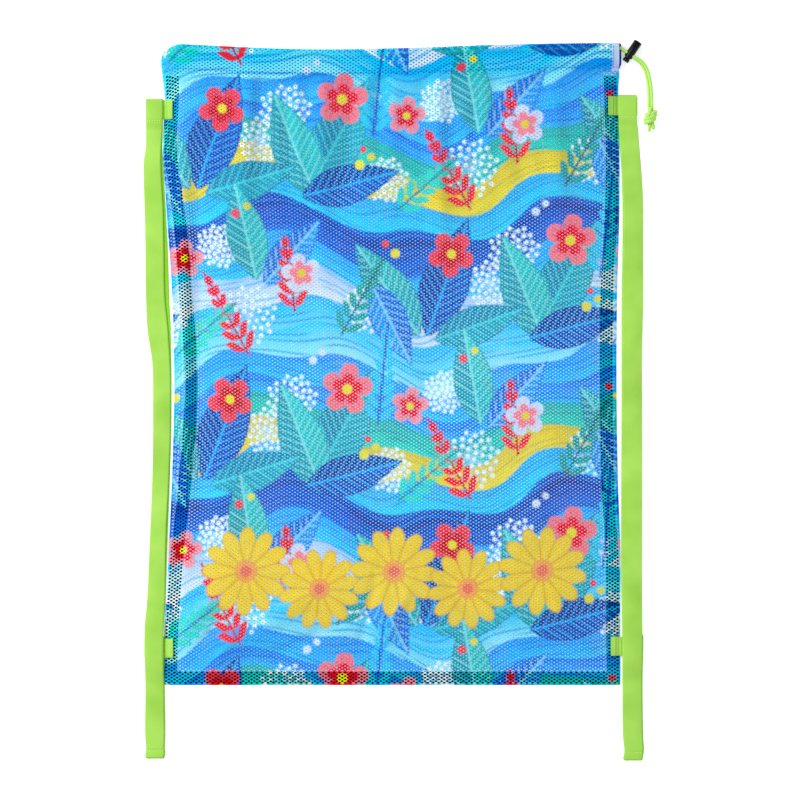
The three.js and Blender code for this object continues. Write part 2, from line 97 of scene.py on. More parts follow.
# Folds of the front panel: ridges, or furrows where the height is negative
FOLDS = (
    # x, y, turn of the crest in degrees from +X, length, width, height
    (-213, 15, 90.5, 390, 7, 15.0),
    (-195, 15, 90.5, 390, 9, -10.0),
    (-168, 20, 91, 330, 14, 2.6),
    (206, 0, 90, 420, 12, 2.0),
    (-150, 218, 87, 170, 10, 3.6),
    (-104, 226, 92, 140, 9, -3.6),
    (-44, 215, 84, 130, 11, -3.6),
    (-8, 208, 88, 150, 12, 3.4),
    (48, 205, 94, 140, 11, 3.6),
    (84, 220, 88, 120, 8, -3.4),
    (128, 228, 98, 110, 10, -3.1),
    (168, 214, 94, 130, 12, 3.1),
    (-130, -268, 35, 120, 12, 3.4),
    (-96, -286, 28, 90, 7, -3.1),
    (82, -252, -50, 100, 10, -3.6),
    (112, -262, -44, 90, 9, 3.1),
    (150, -130, 70, 170, 18, 3.4),
    (-60, -90, 110, 190, 20, 3.4),
    (30, -40, 64, 160, 18, -2.8),
    (-212, -272, 48, 90, 6, 4.5),
    (-194, -284, 52, 80, 5, -4.0),
    (-170, -292, 58, 70, 6, 3.6),
    (-24, -252, 78, 80, 6, -3.4),
    (2, -262, 66, 70, 6, 3.1),
    (190, -276, 128, 80, 7, 3.6),
)

# Net: a staggered lattice of diamond holes
HOLE_ACROSS = 2.81  # from one column of holes to the next
HOLE_ALONG = 3.53  # from one hole to the next in its column
HOLE_HALF_WIDTH = 1.26
HOLE_HALF_LENGTH = 0.84
STAGGER = 0.25  # shift of a column's holes, up and down by turns, as a share of their spacing

# Webbing and tape
WEBBING = 1.2  # thickness of a tab, and of a strap's two plies
WEBBING_WIDTH = 19.0
LAYER = 1.5  # from one layer of webbing to the next
LOOP_LEVEL = 2.9  # layers from the lowest webbing to that which passes over a tab
TAB_WIDTH = 19.5
STITCH_TAIL = 12.0  # webbing that a loop leaves past its tab
CLIMB = 16.0  # stretch in which a strap climbs or comes down
FOLD_CLEAR = 3.0  # a strap is up this far before the fold of the loop under it
TAPE = 0.5  # thickness of the binding tape
TAPE_WIDTH = 13.0
TAPE_HEIGHT = 1.35  # of its middle, between the panels
TAPE_INSET = 1.0  # from the bottom seam and its ends

# Drawcord
CORD = 3.3  # thickness of the cord
BRAID_ROUND = 2.6  # wave of the braid's yarns round the cord, two lozenges wide
BRAID_ALONG = 3.4  # and along it, two lozenges long
FRONT_STRAND = np.array([
    (231.0, 321.5, 9.1), (232.6, 321.3, 8.9), (235.0, 320.1, 8.1), (237.6, 318.42, 7.5),
    (242.3, 315.3, 7.5), (247.0, 312.18, 7.5), (251.9, 309.9, 6.8), (256.9, 305.6, 5.8),
    (260.6, 298.6, 4.9), (263.5, 285.7, 4.4), (264.6, 272.3, 4.8), (264.9, 258.3, 5.6),
])
BACK_STRAND = np.array([
    (231.0, 321.5, 2.95), (232.6, 321.3, 3.05), (235.0, 320.1, 3.5), (237.6, 318.42, 3.9),
    (242.3, 315.3, 3.9), (247.0, 312.18, 3.9), (251.0, 308.4, 3.2), (254.9, 304.0, 2.5),
    (258.3, 297.8, 2.2), (261.0, 285.4, 2.2), (261.8, 272.3, 3.2), (261.6, 258.3, 5.6),
])
KNOT = np.array([263.3, 250.8, 5.6])
KNOT_TURNS = (
    # name, shift across, half width, half height, slope, lift of the turn's middle along the cord
    ("turn_upper", 1.5, 3.7, 3.1, 0.5, 4.0),
    ("turn_middle", -0.1, 5.0, 3.2, 0.45, 0.4),
    ("turn_lower", -1.1, 3.9, 3.1, 0.36, -3.7),
    ("turn_hidden", 0.0, 4.0, 2.6, -0.5, 0.8),
)
KNOT_CORES = {
    "tail_left": ((262.0, 262.5, 5.0), (262.2, 258.6, 5.8), (262.4, 254.0, 5.4), (262.9, 249.0, 5.2),
                  (262.4, 243.0, 4.6), (262.0, 236.4, 3.4)),
    "tail_right": ((264.7, 262.5, 5.3), (264.6, 258.6, 5.6), (264.6, 254.0, 5.4), (264.6, 249.0, 5.2),
                   (266.0, 243.0, 4.6), (266.6, 238.8, 3.4)),
    "entry": ((263.6, 261.5, 6.2), (263.0, 258.0, 8.4), (261.6, 254.2, 9.6), (259.6, 251.0, 8.6),
              (258.6, 248.6, 6.0)),
}
TURN_SWELL = 1.3  # a turn holds the doubled cord pulled tight, so it is thicker than one strand
CORE_SWELL = 1.15  # so are the strands pressed flat in the knot and the sealed ends of the tails


def smooth_through(places, values):
    """A cubic curve through points: between two of them it is a Hermite cubic, and its slope at each
    point is that of the chords beside it."""
    places = np.asarray(places, float)
    values = np.asarray(values, float)
    slopes = np.gradient(values, places, axis=0)

    def at(t):
        """The curve's values at places along it."""
        t = np.clip(t, places[0], places[-1])
        i = np.clip(np.searchsorted(places, t) - 1, 0, len(places) - 2)
        span = places[i + 1] - places[i]
        s = (t - places[i]) / span
        if values.ndim > 1:
            s = s[:, None]
            span = span[:, None]
        ease = s * s * (3 - 2 * s)
        lead = s * (1 - s) ** 2 * span * slopes[i]
        trail = s * s * (s - 1) * span * slopes[i + 1]
        return values[i] * (1 - ease) + values[i + 1] * ease + lead + trail

    return at


left_edge = smooth_through(SIDES[:, 0], SIDES[:, 1])
right_edge = smooth_through(SIDES[:, 0], SIDES[:, 2])
seam_left = smooth_through(SIDES[:, 0], SIDES[:, 3])
seam_right = smooth_through(SIDES[:, 0], SIDES[:, 4])
mouth_edge = smooth_through(MOUTH[:, 0], MOUTH[:, 1])


def smoothstep(t, low, high):
    """0 below low, 1 above high and the cubic 3s^2 - 2s^3 between them."""
    s = np.clip((t - low) / (high - low), 0, 1)
    return s * s * (3 - 2 * s)


def lerp(a, b, t):
    """The value a share t of the way from a to b."""
    return a + (b - a) * t


# Materials

WAVE_BAND = 0.314  # from one band of a wave texture to the next, at scale 1
KNIT = 1.0  # knit loops are about 0.5 mm; they are drawn twice as coarse so that they show
RIB = 1.0  # so are the ribs of the webbing and the tape
MOTTLE = 9.0  # patches of weaker dye
TONE_PATCH = 40.0  # patches of the slow random changes of tone
GRAIN = 0.5  # of the moulded plastic; the real grain is finer, and is drawn as coarse as it needs to show
CLOUD = 6.0  # patches of its slow changes of tone
TWIST = 0.5  # from turn to turn of a sewing thread


def linear(hex_colour):
    """Linear RGBA of an sRGB hex colour, by the sRGB transfer curve."""
    srgb = np.array([int(hex_colour[i:i + 2], 16) for i in (1, 3, 5)]) / 255
    rgb = np.where(srgb <= 0.04045, srgb / 12.92, ((srgb + 0.055) / 1.055) ** 2.4)
    return (*rgb.tolist(), 1.0)


def add_node(tree, kind, values=None, links=None, **settings):
    """Adds a shader node with its settings, the values of its inputs and links into them."""
    made = tree.nodes.new("ShaderNode" + kind)
    for name, setting in settings.items():
        setattr(made, name, setting)
    for name, number in (values or {}).items():
        made.inputs[name].default_value = number
    for name, (source, output) in (links or {}).items():
        tree.links.new(source.outputs[output], made.inputs[name])
    return made


def start_material(name):
    """An empty node material, and its tree."""
    material = bpy.data.materials.new(name)
    material.use_nodes = True
    material.node_tree.nodes.clear()
    return material, material.node_tree


def printed_mesh_finish():
    """Warp-knitted polyester net, dye printed on its face: matt, soft edged and bright, and thin enough
    that light from above comes through to the inside."""
    material, tree = start_material("printed_polyester_mesh")
    print_colour = add_node(tree, "Attribute", attribute_name="print")
    place = add_node(tree, "TexCoord")
    knit = add_node(tree, "TexVoronoi", {"Scale": 1 / (KNIT * MM)}, {"Vector": (place, "Object")})
    mottle = add_node(tree, "TexNoise", {"Scale": 1 / (MOTTLE * MM), "Detail": 3.0},
                      {"Vector": (place, "Object")})
    shade = add_node(tree, "MapRange", {"To Min": 0.79, "To Max": 1.0}, {"Value": (mottle, "Fac")})
    dyed = add_node(tree, "Mix", {0: 1.0}, {6: (print_colour, "Color"), 7: (shade, "Result")},
                    data_type="RGBA", blend_type="MULTIPLY")
    soaked = add_node(tree, "Mix", {0: 0.03, 7: linear("#FBFCFE")}, {6: (dyed, 2)}, data_type="RGBA")
    rough = add_node(tree, "MapRange", {"To Min": 0.55, "To Max": 0.75}, {"Value": (knit, "Distance")})
    bump = add_node(tree, "Bump", {"Strength": 0.35, "Distance": 0.25 * MM}, {"Height": (knit, "Distance")})
    face = add_node(tree, "BsdfPrincipled", {"Specular IOR Level": 0.04},
                    {"Base Color": (dyed, 2), "Roughness": (rough, "Result"), "Normal": (bump, "Normal")})
    glow = add_node(tree, "BsdfTranslucent", {}, {"Color": (soaked, 2)})
    thin = add_node(tree, "MixShader", {0: 0.15}, {1: (face, 0), 2: (glow, 0)})
    add_node(tree, "OutputMaterial", {}, {"Surface": (thin, 0)})
    return material


def net_reverse_finish():
    """The undyed reverse of the same net: off-white polyester with a breath of the print."""
    material, tree = start_material("undyed_polyester_mesh")
    print_colour = add_node(tree, "Attribute", attribute_name="print")
    place = add_node(tree, "TexCoord")
    knit = add_node(tree, "TexVoronoi", {"Scale": 1 / (KNIT * MM)}, {"Vector": (place, "Object")})
    pale = add_node(tree, "Mix", {0: 0.8, 7: linear("#F0F6FD")}, {6: (print_colour, "Color")},
                    data_type="RGBA")
    rough = add_node(tree, "MapRange", {"To Min": 0.6, "To Max": 0.8}, {"Value": (knit, "Distance")})
    bump = add_node(tree, "Bump", {"Strength": 0.3, "Distance": 0.25 * MM}, {"Height": (knit, "Distance")})
    face = add_node(tree, "BsdfPrincipled", {"Specular IOR Level": 0.3},
                    {"Base Color": (pale, 2), "Roughness": (rough, "Result"), "Normal": (bump, "Normal")})
    add_node(tree, "OutputMaterial", {}, {"Surface": (face, 0)})
    return material


def woven_finish(name, light, dark, shaded_ply_colour, roughness, depth, lustre):
    """Closely woven narrow fabric: fine ribs across its length, crossed by finer warp threads and drawn
    darker in the weave's hollows as painted shade, with slow random changes of tone, and painted shade in a
    deeper colour on an inner ply, which lies in the shade of the upper one. depth is the height of the
    weave in millimetres."""
    material, tree = start_material(name)
    weave = add_node(tree, "UVMap", uv_map="weave")
    place = add_node(tree, "TexCoord")
    ribs = add_node(tree, "TexWave", {"Scale": WAVE_BAND / RIB, "Distortion": 0.6, "Detail": 1.0},
                    {"Vector": (weave, "UV")}, bands_direction="Y")
    warp = add_node(tree, "TexWave", {"Scale": WAVE_BAND / (0.8 * RIB)}, {"Vector": (weave, "UV")},
                    bands_direction="X")
    cloth = add_node(tree, "Math", {}, {0: (ribs, "Fac"), 1: (warp, "Fac")}, operation="MULTIPLY")
    tone = add_node(tree, "TexNoise", {"Scale": 1 / (TONE_PATCH * MM), "Detail": 2.0},
                    {"Vector": (place, "Object")})
    blend = add_node(tree, "MapRange", {"From Min": 0.3, "From Max": 0.7}, {"Value": (tone, "Fac")})
    outer = add_node(tree, "Mix", {6: linear(light), 7: linear(dark)}, {0: (blend, "Result")},
                     data_type="RGBA")
    inside = add_node(tree, "Attribute", attribute_name="ply_in_shade")
    # Painted shade: the inner ply, in the shade of the upper one, takes the deeper colour.
    ground = add_node(tree, "Mix", {7: linear(shaded_ply_colour)}, {0: (inside, "Fac"), 6: (outer, 2)}, data_type="RGBA")
    # Painted shade: the colour is darker in the hollows of the weave and lighter on its crests.
    weave_shade = add_node(tree, "MapRange", {"To Min": 0.93, "To Max": 1.03}, {"Value": (cloth, 0)})
    colour = add_node(tree, "Mix", {0: 1.0}, {6: (ground, 2), 7: (weave_shade, "Result")},
                      data_type="RGBA", blend_type="MULTIPLY")
    rough = add_node(tree, "MapRange", {"To Min": roughness + 0.08, "To Max": roughness - 0.05},
                     {"Value": (cloth, 0)})
    bump = add_node(tree, "Bump", {"Strength": 0.25, "Distance": depth * MM}, {"Height": (cloth, 0)})
    face = add_node(tree, "BsdfPrincipled", {"Specular IOR Level": lustre, "Sheen Weight": 0.3 * lustre},
                    {"Base Color": (colour, 2), "Roughness": (rough, "Result"), "Normal": (bump, "Normal")})
    add_node(tree, "OutputMaterial", {}, {"Surface": (face, 0)})
    return material


def braided_finish():
    """Braided polyester cord: yarns cross in two slants, so raised and sunk lozenges run round it, drawn
    lighter on their crests and darker in their hollows as painted light and shade.
    """
    material, tree = start_material("braided_polyester_cord")
    weave = add_node(tree, "UVMap", uv_map="weave")
    split = add_node(tree, "SeparateXYZ", {}, {0: (weave, "UV")})
    round_turn = add_node(tree, "Math", {1: 2 * math.pi / BRAID_ROUND}, {0: (split, "X")},
                          operation="MULTIPLY")
    along = add_node(tree, "Math", {1: 2 * math.pi / BRAID_ALONG}, {0: (split, "Y")},
                     operation="MULTIPLY")
    rising = add_node(tree, "Math", {}, {0: (round_turn, 0), 1: (along, 0)}, operation="ADD")
    falling = add_node(tree, "Math", {}, {0: (round_turn, 0), 1: (along, 0)}, operation="SUBTRACT")
    one = add_node(tree, "Math", {}, {0: (rising, 0)}, operation="SINE")
    other = add_node(tree, "Math", {}, {0: (falling, 0)}, operation="SINE")
    lozenge = add_node(tree, "Math", {}, {0: (one, 0), 1: (other, 0)}, operation="MULTIPLY")
    height = add_node(tree, "MapRange", {"From Min": -1.0}, {"Value": (lozenge, 0)})
    # Painted light and shade: the colour follows the braid's height, darker in the hollows and lighter on
    # the crests.
    colour = add_node(tree, "Mix", {6: linear("#92CA44"), 7: linear("#BCEA74")}, {0: (height, "Result")},
                      data_type="RGBA")
    rough = add_node(tree, "MapRange", {"To Min": 0.7, "To Max": 0.5}, {"Value": (height, "Result")})
    bump = add_node(tree, "Bump", {"Strength": 0.4, "Distance": 0.3 * MM}, {"Height": (height, "Result")})
    face = add_node(tree, "BsdfPrincipled", {"Specular IOR Level": 0.35, "Sheen Weight": 0.12},
                    {"Base Color": (colour, 2), "Roughness": (rough, "Result"), "Normal": (bump, "Normal")})
    add_node(tree, "OutputMaterial", {}, {"Surface": (face, 0)})
    return material


def moulded_plastic_finish():
    """Injection moulded acetal: near black and satin, with a spark-eroded grain."""
    material, tree = start_material("moulded_acetal_satin")
    place = add_node(tree, "TexCoord")
    grain = add_node(tree, "TexNoise", {"Scale": 1 / (GRAIN * MM), "Detail": 4.0},
                     {"Vector": (place, "Object")})
    cloud = add_node(tree, "TexNoise", {"Scale": 1 / (CLOUD * MM)}, {"Vector": (place, "Object")})
    colour = add_node(tree, "Mix", {6: linear("#030304"), 7: linear("#08080A")}, {0: (cloud, "Fac")},
                      data_type="RGBA")
    rough = add_node(tree, "MapRange", {"To Min": 0.22, "To Max": 0.38}, {"Value": (grain, "Fac")})
    bump = add_node(tree, "Bump", {"Strength": 0.12, "Distance": 0.1 * MM}, {"Height": (grain, "Fac")})
    face = add_node(tree, "BsdfPrincipled", {"IOR": 1.48, "Specular IOR Level": 0.13},
                    {"Base Color": (colour, 2), "Roughness": (rough, "Result"), "Normal": (bump, "Normal")})
    add_node(tree, "OutputMaterial", {}, {"Surface": (face, 0)})
    return material


def thread_finish(name, light, dark):
    """Twisted polyester sewing thread: a smooth filament with a slight lustre, drawn darker in the grooves
    of its twist and lighter on its ridges as painted shade and light.
    """
    material, tree = start_material(name)
    place = add_node(tree, "TexCoord")
    twist = add_node(tree, "TexWave", {"Scale": WAVE_BAND / (TWIST * MM)}, {"Vector": (place, "Object")},
                     bands_direction="DIAGONAL")
    # Painted shade and light: the colour follows the twist's relief, darker in its grooves and lighter on
    # its ridges.
    colour = add_node(tree, "Mix", {6: linear(dark), 7: linear(light)}, {0: (twist, "Fac")},
                      data_type="RGBA")
    bump = add_node(tree, "Bump", {"Strength": 0.2, "Distance": 0.1 * MM}, {"Height": (twist, "Fac")})
    face = add_node(tree, "BsdfPrincipled", {"Roughness": 0.45},
                    {"Base Color": (colour, 2), "Normal": (bump, "Normal")})
    add_node(tree, "OutputMaterial", {}, {"Surface": (face, 0)})
    return material


def light_table_finish():
    """Matt white acrylic of a light table: plain, with a weak glow of its own that fills shadows."""
    material, tree = start_material("white_light_table")
    face = add_node(tree, "BsdfPrincipled", {
        "Base Color": linear("#FDFDFD"), "Roughness": 0.9, "Specular IOR Level": 0.1,
        "Emission Color": linear("#FFFFFF"), "Emission Strength": 0.42})
    add_node(tree, "OutputMaterial", {}, {"Surface": (face, 0)})
    return material


MESH_CLOTH = printed_mesh_finish()
MESH_REVERSE = net_reverse_finish()
# The third colour of each narrow fabric is the painted shade of its inner ply.
LIME_WEBBING = woven_finish("lime_polyester_webbing", "#9FD250", "#8CC23B", "#84CE0C",
                            roughness=0.6, depth=0.12, lustre=0.35)
BLACK_TAPE = woven_finish("black_binding_tape", "#0E0F11", "#08080A", "#08080A",
                          roughness=0.8, depth=0.15, lustre=0.04)
LIME_CORD = braided_finish()
ACETAL = moulded_plastic_finish()
LIME_THREAD = thread_finish("lime_sewing_thread", "#D2F28C", "#AEDD58")
BLUE_THREAD = thread_finish("blue_sewing_thread", "#3F7FE0", "#2757B4")


# Meshes

MERGED = 1e-6  # points nearer than this are one, in metres
ROUTE_STEPS = 2000  # on a smooth curve, before it is cut into even steps


def put_piece(name, points, faces, material, uv=None):
    """A mesh at the origin from points in millimetres, an array of faces and each corner's place on
    the weave in millimetres."""
    mesh = bpy.data.meshes.new(name)
    mesh.from_pydata(np.asarray(points).reshape(-1, 3) * MM, [], faces.tolist())
    if uv is not None:
        mesh.uv_layers.new(name="weave").data.foreach_set("uv", np.asarray(uv, np.float32).ravel())
    mesh.polygons.foreach_set("use_smooth", np.ones(len(mesh.polygons), bool))
    mesh.materials.append(material)
    mesh.update()
    piece = bpy.data.objects.new(name, mesh)
    bpy.context.scene.collection.objects.link(piece)
    return piece


def grid_quads(rows, columns, ring=False):
    """Quads of a grid of points that are numbered row by row, and each corner's row and column. A ring
    joins the last column to the first."""
    i, j = np.meshgrid(np.arange(rows - 1), np.arange(columns - (not ring)), indexing="ij")
    corner_row = np.stack([i, i, i + 1, i + 1], -1).reshape(-1, 4)
    corner_column = np.stack([j, j + 1, j + 1, j], -1).reshape(-1, 4)
    return corner_row * columns + corner_column % columns, corner_row, corner_column


def outwards(points, quads):
    """True if the quads of a closed surface point out: the signed volume under them is positive."""
    a, b, c, d = (points.reshape(-1, 3)[quads[:, k]] for k in range(4))
    return np.sum(a * np.cross(b, c)) + np.sum(a * np.cross(c, d)) > 0


def merge_doubles(mesh):
    """Joins points that lie together, which closes poles and ends."""
    work = bmesh.new()
    work.from_mesh(mesh)
    bmesh.ops.remove_doubles(work, verts=work.verts, dist=MERGED)
    work.to_mesh(mesh)
    work.free()


def lengths_along(points):
    """The length of a line of points up to each of them."""
    return np.concatenate([[0], np.cumsum(np.linalg.norm(np.diff(points, axis=0), axis=1))])


def points_at(places, points):
    """Points on a line of points, at lengths along it."""
    length = lengths_along(points)
    return np.stack([np.interp(places, length, points[:, k]) for k in range(3)], -1)


def closed_sweep(name, rings, material, looped=False, marks=None):
    """A closed skin over rings of points: each ring is joined to the next one. A looped sweep joins the
    last to the first, and any other draws its two end rings together to their middles. The weave is
    laid out by the length round the middle ring and along the rings' middles. marks are numbers on the
    points of the rings, by name."""
    if looped:
        points = np.concatenate([rings, rings[:1]])
    else:
        ends = [np.broadcast_to(rings[k].mean(axis=0), rings[k].shape)[None] for k in (0, -1)]
        points = np.concatenate([ends[0], rings, ends[1]])
    along = lengths_along(points.mean(axis=1))
    widest = rings[len(rings) // 2]
    around = lengths_along(np.concatenate([widest, widest[:1]]))
    quads, corner_row, corner_column = grid_quads(*points.shape[:2], ring=True)
    uv = np.stack([around[corner_column], along[corner_row]], -1)
    if not outwards(points, quads):
        quads = quads[:, ::-1]
        uv = uv[:, ::-1]
    piece = put_piece(name, points, quads, material, uv)
    for key, number in (marks or {}).items():
        number = np.concatenate([number[:1], number, number[-1:]])
        layer = piece.data.attributes.new(key, "FLOAT", "POINT")
        layer.data.foreach_set("value", number.astype(np.float32).ravel())
    merge_doubles(piece.data)
    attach(piece, "bag")
    return piece


def unit(vectors):
    """The same directions at length 1."""
    return vectors / np.linalg.norm(vectors, axis=-1, keepdims=True)


def tube_rings(path, radius, sides, reference):
    """Rings of a round tube: at each point of the path a circle of the given radius, square to the
    path's direction, its start turned towards the reference direction."""
    forward = unit(np.gradient(path, axis=0))
    aside = unit(np.cross(np.asarray(reference, float), forward))
    up = np.cross(forward, aside)
    angle = np.arange(sides) / sides * 2 * np.pi
    circle = np.cos(angle)[None, :, None] * aside[:, None] + np.sin(angle)[None, :, None] * up[:, None]
    return path[:, None] + np.asarray(radius).reshape(-1, 1, 1) * circle


def rounded_ends(count, tip):
    """Share of the full radius along a tube whose ends are rounded over tip stations."""
    from_end = np.minimum(np.arange(count), np.arange(count)[::-1])
    return np.sqrt(1 - np.clip(1 - (from_end + 0.3) / tip, 0, 1) ** 2)


def cord_route(points, step):
    """A smooth curve through points, at even steps of its length."""
    fine = smooth_through(np.arange(len(points)), points)(np.linspace(0, len(points) - 1, ROUTE_STEPS))
    length = lengths_along(fine)[-1]
    return points_at(np.linspace(0, length, max(int(length / step), 4)), fine)


# Camera and light, set as the photograph sees the bag: from straight above

FRAME_WIDTH = 816.0  # of the floor, across the picture
FRAME_CENTRE = (8.2, -36.7)
LENS = 180.0
SENSOR = 36.0
FLOOR_HALF = 4000.0
LIGHTS = (
    # name, place and size in metres, power in watts
    ("key_box", (-2.6, 1.3, 2.5), 2.0, 160.0),
    ("fill_box", (2.0, -1.2, 2.6), 2.0, 28.0),
)
SKY_STRENGTH = 0.53


def add_camera():
    """A long lens over the middle of the picture, so high that its view is as wide as the frame."""
    camera = bpy.data.objects.new("camera", bpy.data.cameras.new("camera"))
    camera.data.lens = LENS
    camera.data.sensor_width = SENSOR
    camera.location = (FRAME_CENTRE[0] * MM, FRAME_CENTRE[1] * MM, FRAME_WIDTH * LENS / SENSOR * MM)
    bpy.context.scene.collection.objects.link(camera)
    bpy.context.scene.camera = camera


def add_light(name, place, size, power):
    """A square soft box that faces the middle of the bag."""
    lamp = bpy.data.lights.new(name, "AREA")
    lamp.size = size
    lamp.energy = power
    box = bpy.data.objects.new(name, lamp)
    box.location = place
    away = np.array(place) / np.linalg.norm(place)
    box.rotation_euler = (math.acos(away[2]), 0, math.atan2(away[0], -away[1]))
    bpy.context.scene.collection.objects.link(box)


def add_studio():
    """White floor, a large soft box at the upper left, a weaker one at the right and an even sky."""
    corners = FLOOR_HALF * np.array([(-1, -1, 0), (1, -1, 0), (1, 1, 0), (-1, 1, 0)])
    floor = put_piece("floor", corners, np.array([[0, 1, 2, 3]]), light_table_finish())
    for light in LIGHTS:
        add_light(*light)
    world = bpy.data.worlds.new("studio")
    world.use_nodes = True
    sky = world.node_tree.nodes["Background"]
    sky.inputs["Color"].default_value = linear("#F4F7FF")
    sky.inputs["Strength"].default_value = SKY_STRENGTH
    bpy.context.scene.world = world
    bpy.context.scene.view_settings.view_transform = "Standard"


add_camera()
add_studio()


# Drawcord

BRAID_STEP = 0.5  # between rings of a cord
CORD_SIDES = 20
CORD_TIP = 4  # rings over which a cord's end is rounded
YARNS = 4  # waves of the braid round a cord
YARN_RELIEF = 0.03  # their height, as a share of the cord's radius
RING_POINTS = 64  # along a turn of the knot
SMOOTH_ANGLE = math.radians(35)  # facets of a solid that meet at less are shaded as one surface
EDGE_ANGLE = math.radians(50)  # and edges that are sharper are rounded
EDGE_ROUNDING = 0.12


def braided_tube(name, path, reference, looped=False, swell=1.0):
    """A cord along a path: its radius rises and falls by a product of two sines that run round it in
    opposite slants, so that the crossing yarns stand up. swell scales its radius."""
    turn = np.arange(CORD_SIDES) / CORD_SIDES * 2 * np.pi
    along = np.arange(len(path)) * BRAID_STEP * 2 * np.pi / BRAID_ALONG
    yarn = np.sin(YARNS * turn[None] + along[:, None]) * np.sin(YARNS * turn[None] - along[:, None])
    rings = tube_rings(path, np.full(len(path), 1.0), CORD_SIDES, reference)
    ends = 1.0 if looped else rounded_ends(len(path), CORD_TIP)[:, None]
    radius = swell * CORD / 2 * (1 - YARN_RELIEF + YARN_RELIEF * yarn) * ends
    rings = path[:, None] + (rings - path[:, None]) * radius[:, :, None]
    return closed_sweep(name, rings, LIME_CORD, looped)


def add_strand(name, points, node):
    """One free strand of the drawcord, from the open end of the casing to the knot."""
    path = cord_route(points, BRAID_STEP)
    strand = braided_tube(name, path, (0, 0, 1))
    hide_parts(node)


def smooth_copy(node, material, body):
    """A copy of a rigid solid, merged into one skin and shaded smooth up to its sharp edges."""
    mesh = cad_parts[node].data.copy()
    mesh.materials.clear()
    mesh.materials.append(material)
    merge_doubles(mesh)
    mesh.polygons.foreach_set("use_smooth", np.ones(len(mesh.polygons), bool))
    mesh.set_sharp_from_angle(angle=SMOOTH_ANGLE)
    piece = bpy.data.objects.new(node + "_moulding", mesh)
    bpy.context.scene.collection.objects.link(piece)
    edge = piece.modifiers.new("edge", "BEVEL")
    edge.width = EDGE_ROUNDING * MM
    edge.segments = 2
    edge.limit_method = "ANGLE"
    edge.angle_limit = EDGE_ANGLE
    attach(piece, body)
    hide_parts(node)
    return piece


def add_knot():
    """An overhand knot of the doubled cord: three tilted oval rings lie side by side round a core, in
    which the strands run on to their two short tails. One strand crosses the upper turn on its way in,
    and a fourth turn lies behind the others."""
    turn = np.linspace(0, 2 * np.pi, RING_POINTS, endpoint=False)
    paths = {}
    for name, shift, half_width, half_height, slope, lift in KNOT_TURNS:
        x = half_width * np.cos(turn)
        ring = np.stack([x + shift, slope * x + lift, half_height * np.sin(turn)], -1)
        paths[name] = (KNOT + ring, True)
    for name, points in KNOT_CORES.items():
        paths[name] = (cord_route(np.array(points), BRAID_STEP), False)
    made = []
    for name, (path, looped) in paths.items():
        reference, swell = ((0, 1, 0), TURN_SWELL) if looped else ((0, 0, 1), CORE_SWELL)
        piece = braided_tube("drawcord_knot_" + name, path, reference, looped, swell)
        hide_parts("drawcord_knot")
        made.append(piece)
    return made


barrel = smooth_copy("cord_lock_barrel", ACETAL, "bag")
plunger = smooth_copy("cord_lock_plunger", ACETAL, "plunger")
knot_pieces = add_knot()
add_strand("front_strand", FRONT_STRAND, "drawcord_front_strand")
add_strand("back_strand", BACK_STRAND, "drawcord_back_strand")


# Panels

GATHER_START = 6.0  # from the hem's stitches to the full height of the gathers
GATHER_FADE = 85.0  # stretch in which they fade down the bag
SEWN_WIDTH = 6.0  # strip along a sewn edge that is drawn down
SEWN_DROP = 1.9
CORD_SWELL = 1.0  # height of the swelling over the cord
CORD_SWELL_WIDTH = 3.0
STITCH_PULL = 0.5  # depth of the groove along the hem's stitches
STITCH_PULL_WIDTH = 1.6
STITCH_PULL_UP = 1.0  # from the hem's edge up to the groove
CASING_FLARE = (296.0, 306.0)  # stretch in which the open end of a casing widens to its overhang


def fold_height(x, y):
    """Sum of the folds: each is a bell across its crest that fades towards the ends of the crest."""
    height = np.zeros_like(x)
    for fold_x, fold_y, turn, length, width, rise in FOLDS:
        angle = math.radians(turn)
        along = (x - fold_x) * math.cos(angle) + (y - fold_y) * math.sin(angle)
        aside = (y - fold_y) * math.cos(angle) - (x - fold_x) * math.sin(angle)
        height += rise * np.exp(-(2 * along / length) ** 4 - (aside / width) ** 2)
    return height


def pucker_height(x, y, top):
    """Gathers under the hem: two sines across the bag, stronger and weaker by a third one, which start
    at the stitches and fade down the bag."""
    below = np.clip(top - HEM - y, 0, None)
    broad = 3.4 * np.sin(2 * np.pi * x / 41 + 0.9 * np.sin(x / 61))
    fine = 1.7 * np.sin(2 * np.pi * x / 24 + 1.7)
    strength = 0.7 + 0.3 * np.sin(x / 58 + 2)
    return (broad + fine) * strength * np.exp(-below / GATHER_FADE) * smoothstep(below, 0, GATHER_START)


def rise_from_seam(distance):
    """Share of the loft at a distance from a seam: a parabola that is level where it ends."""
    return 1 - (1 - np.clip(distance / RISE, 0, 1)) ** 2


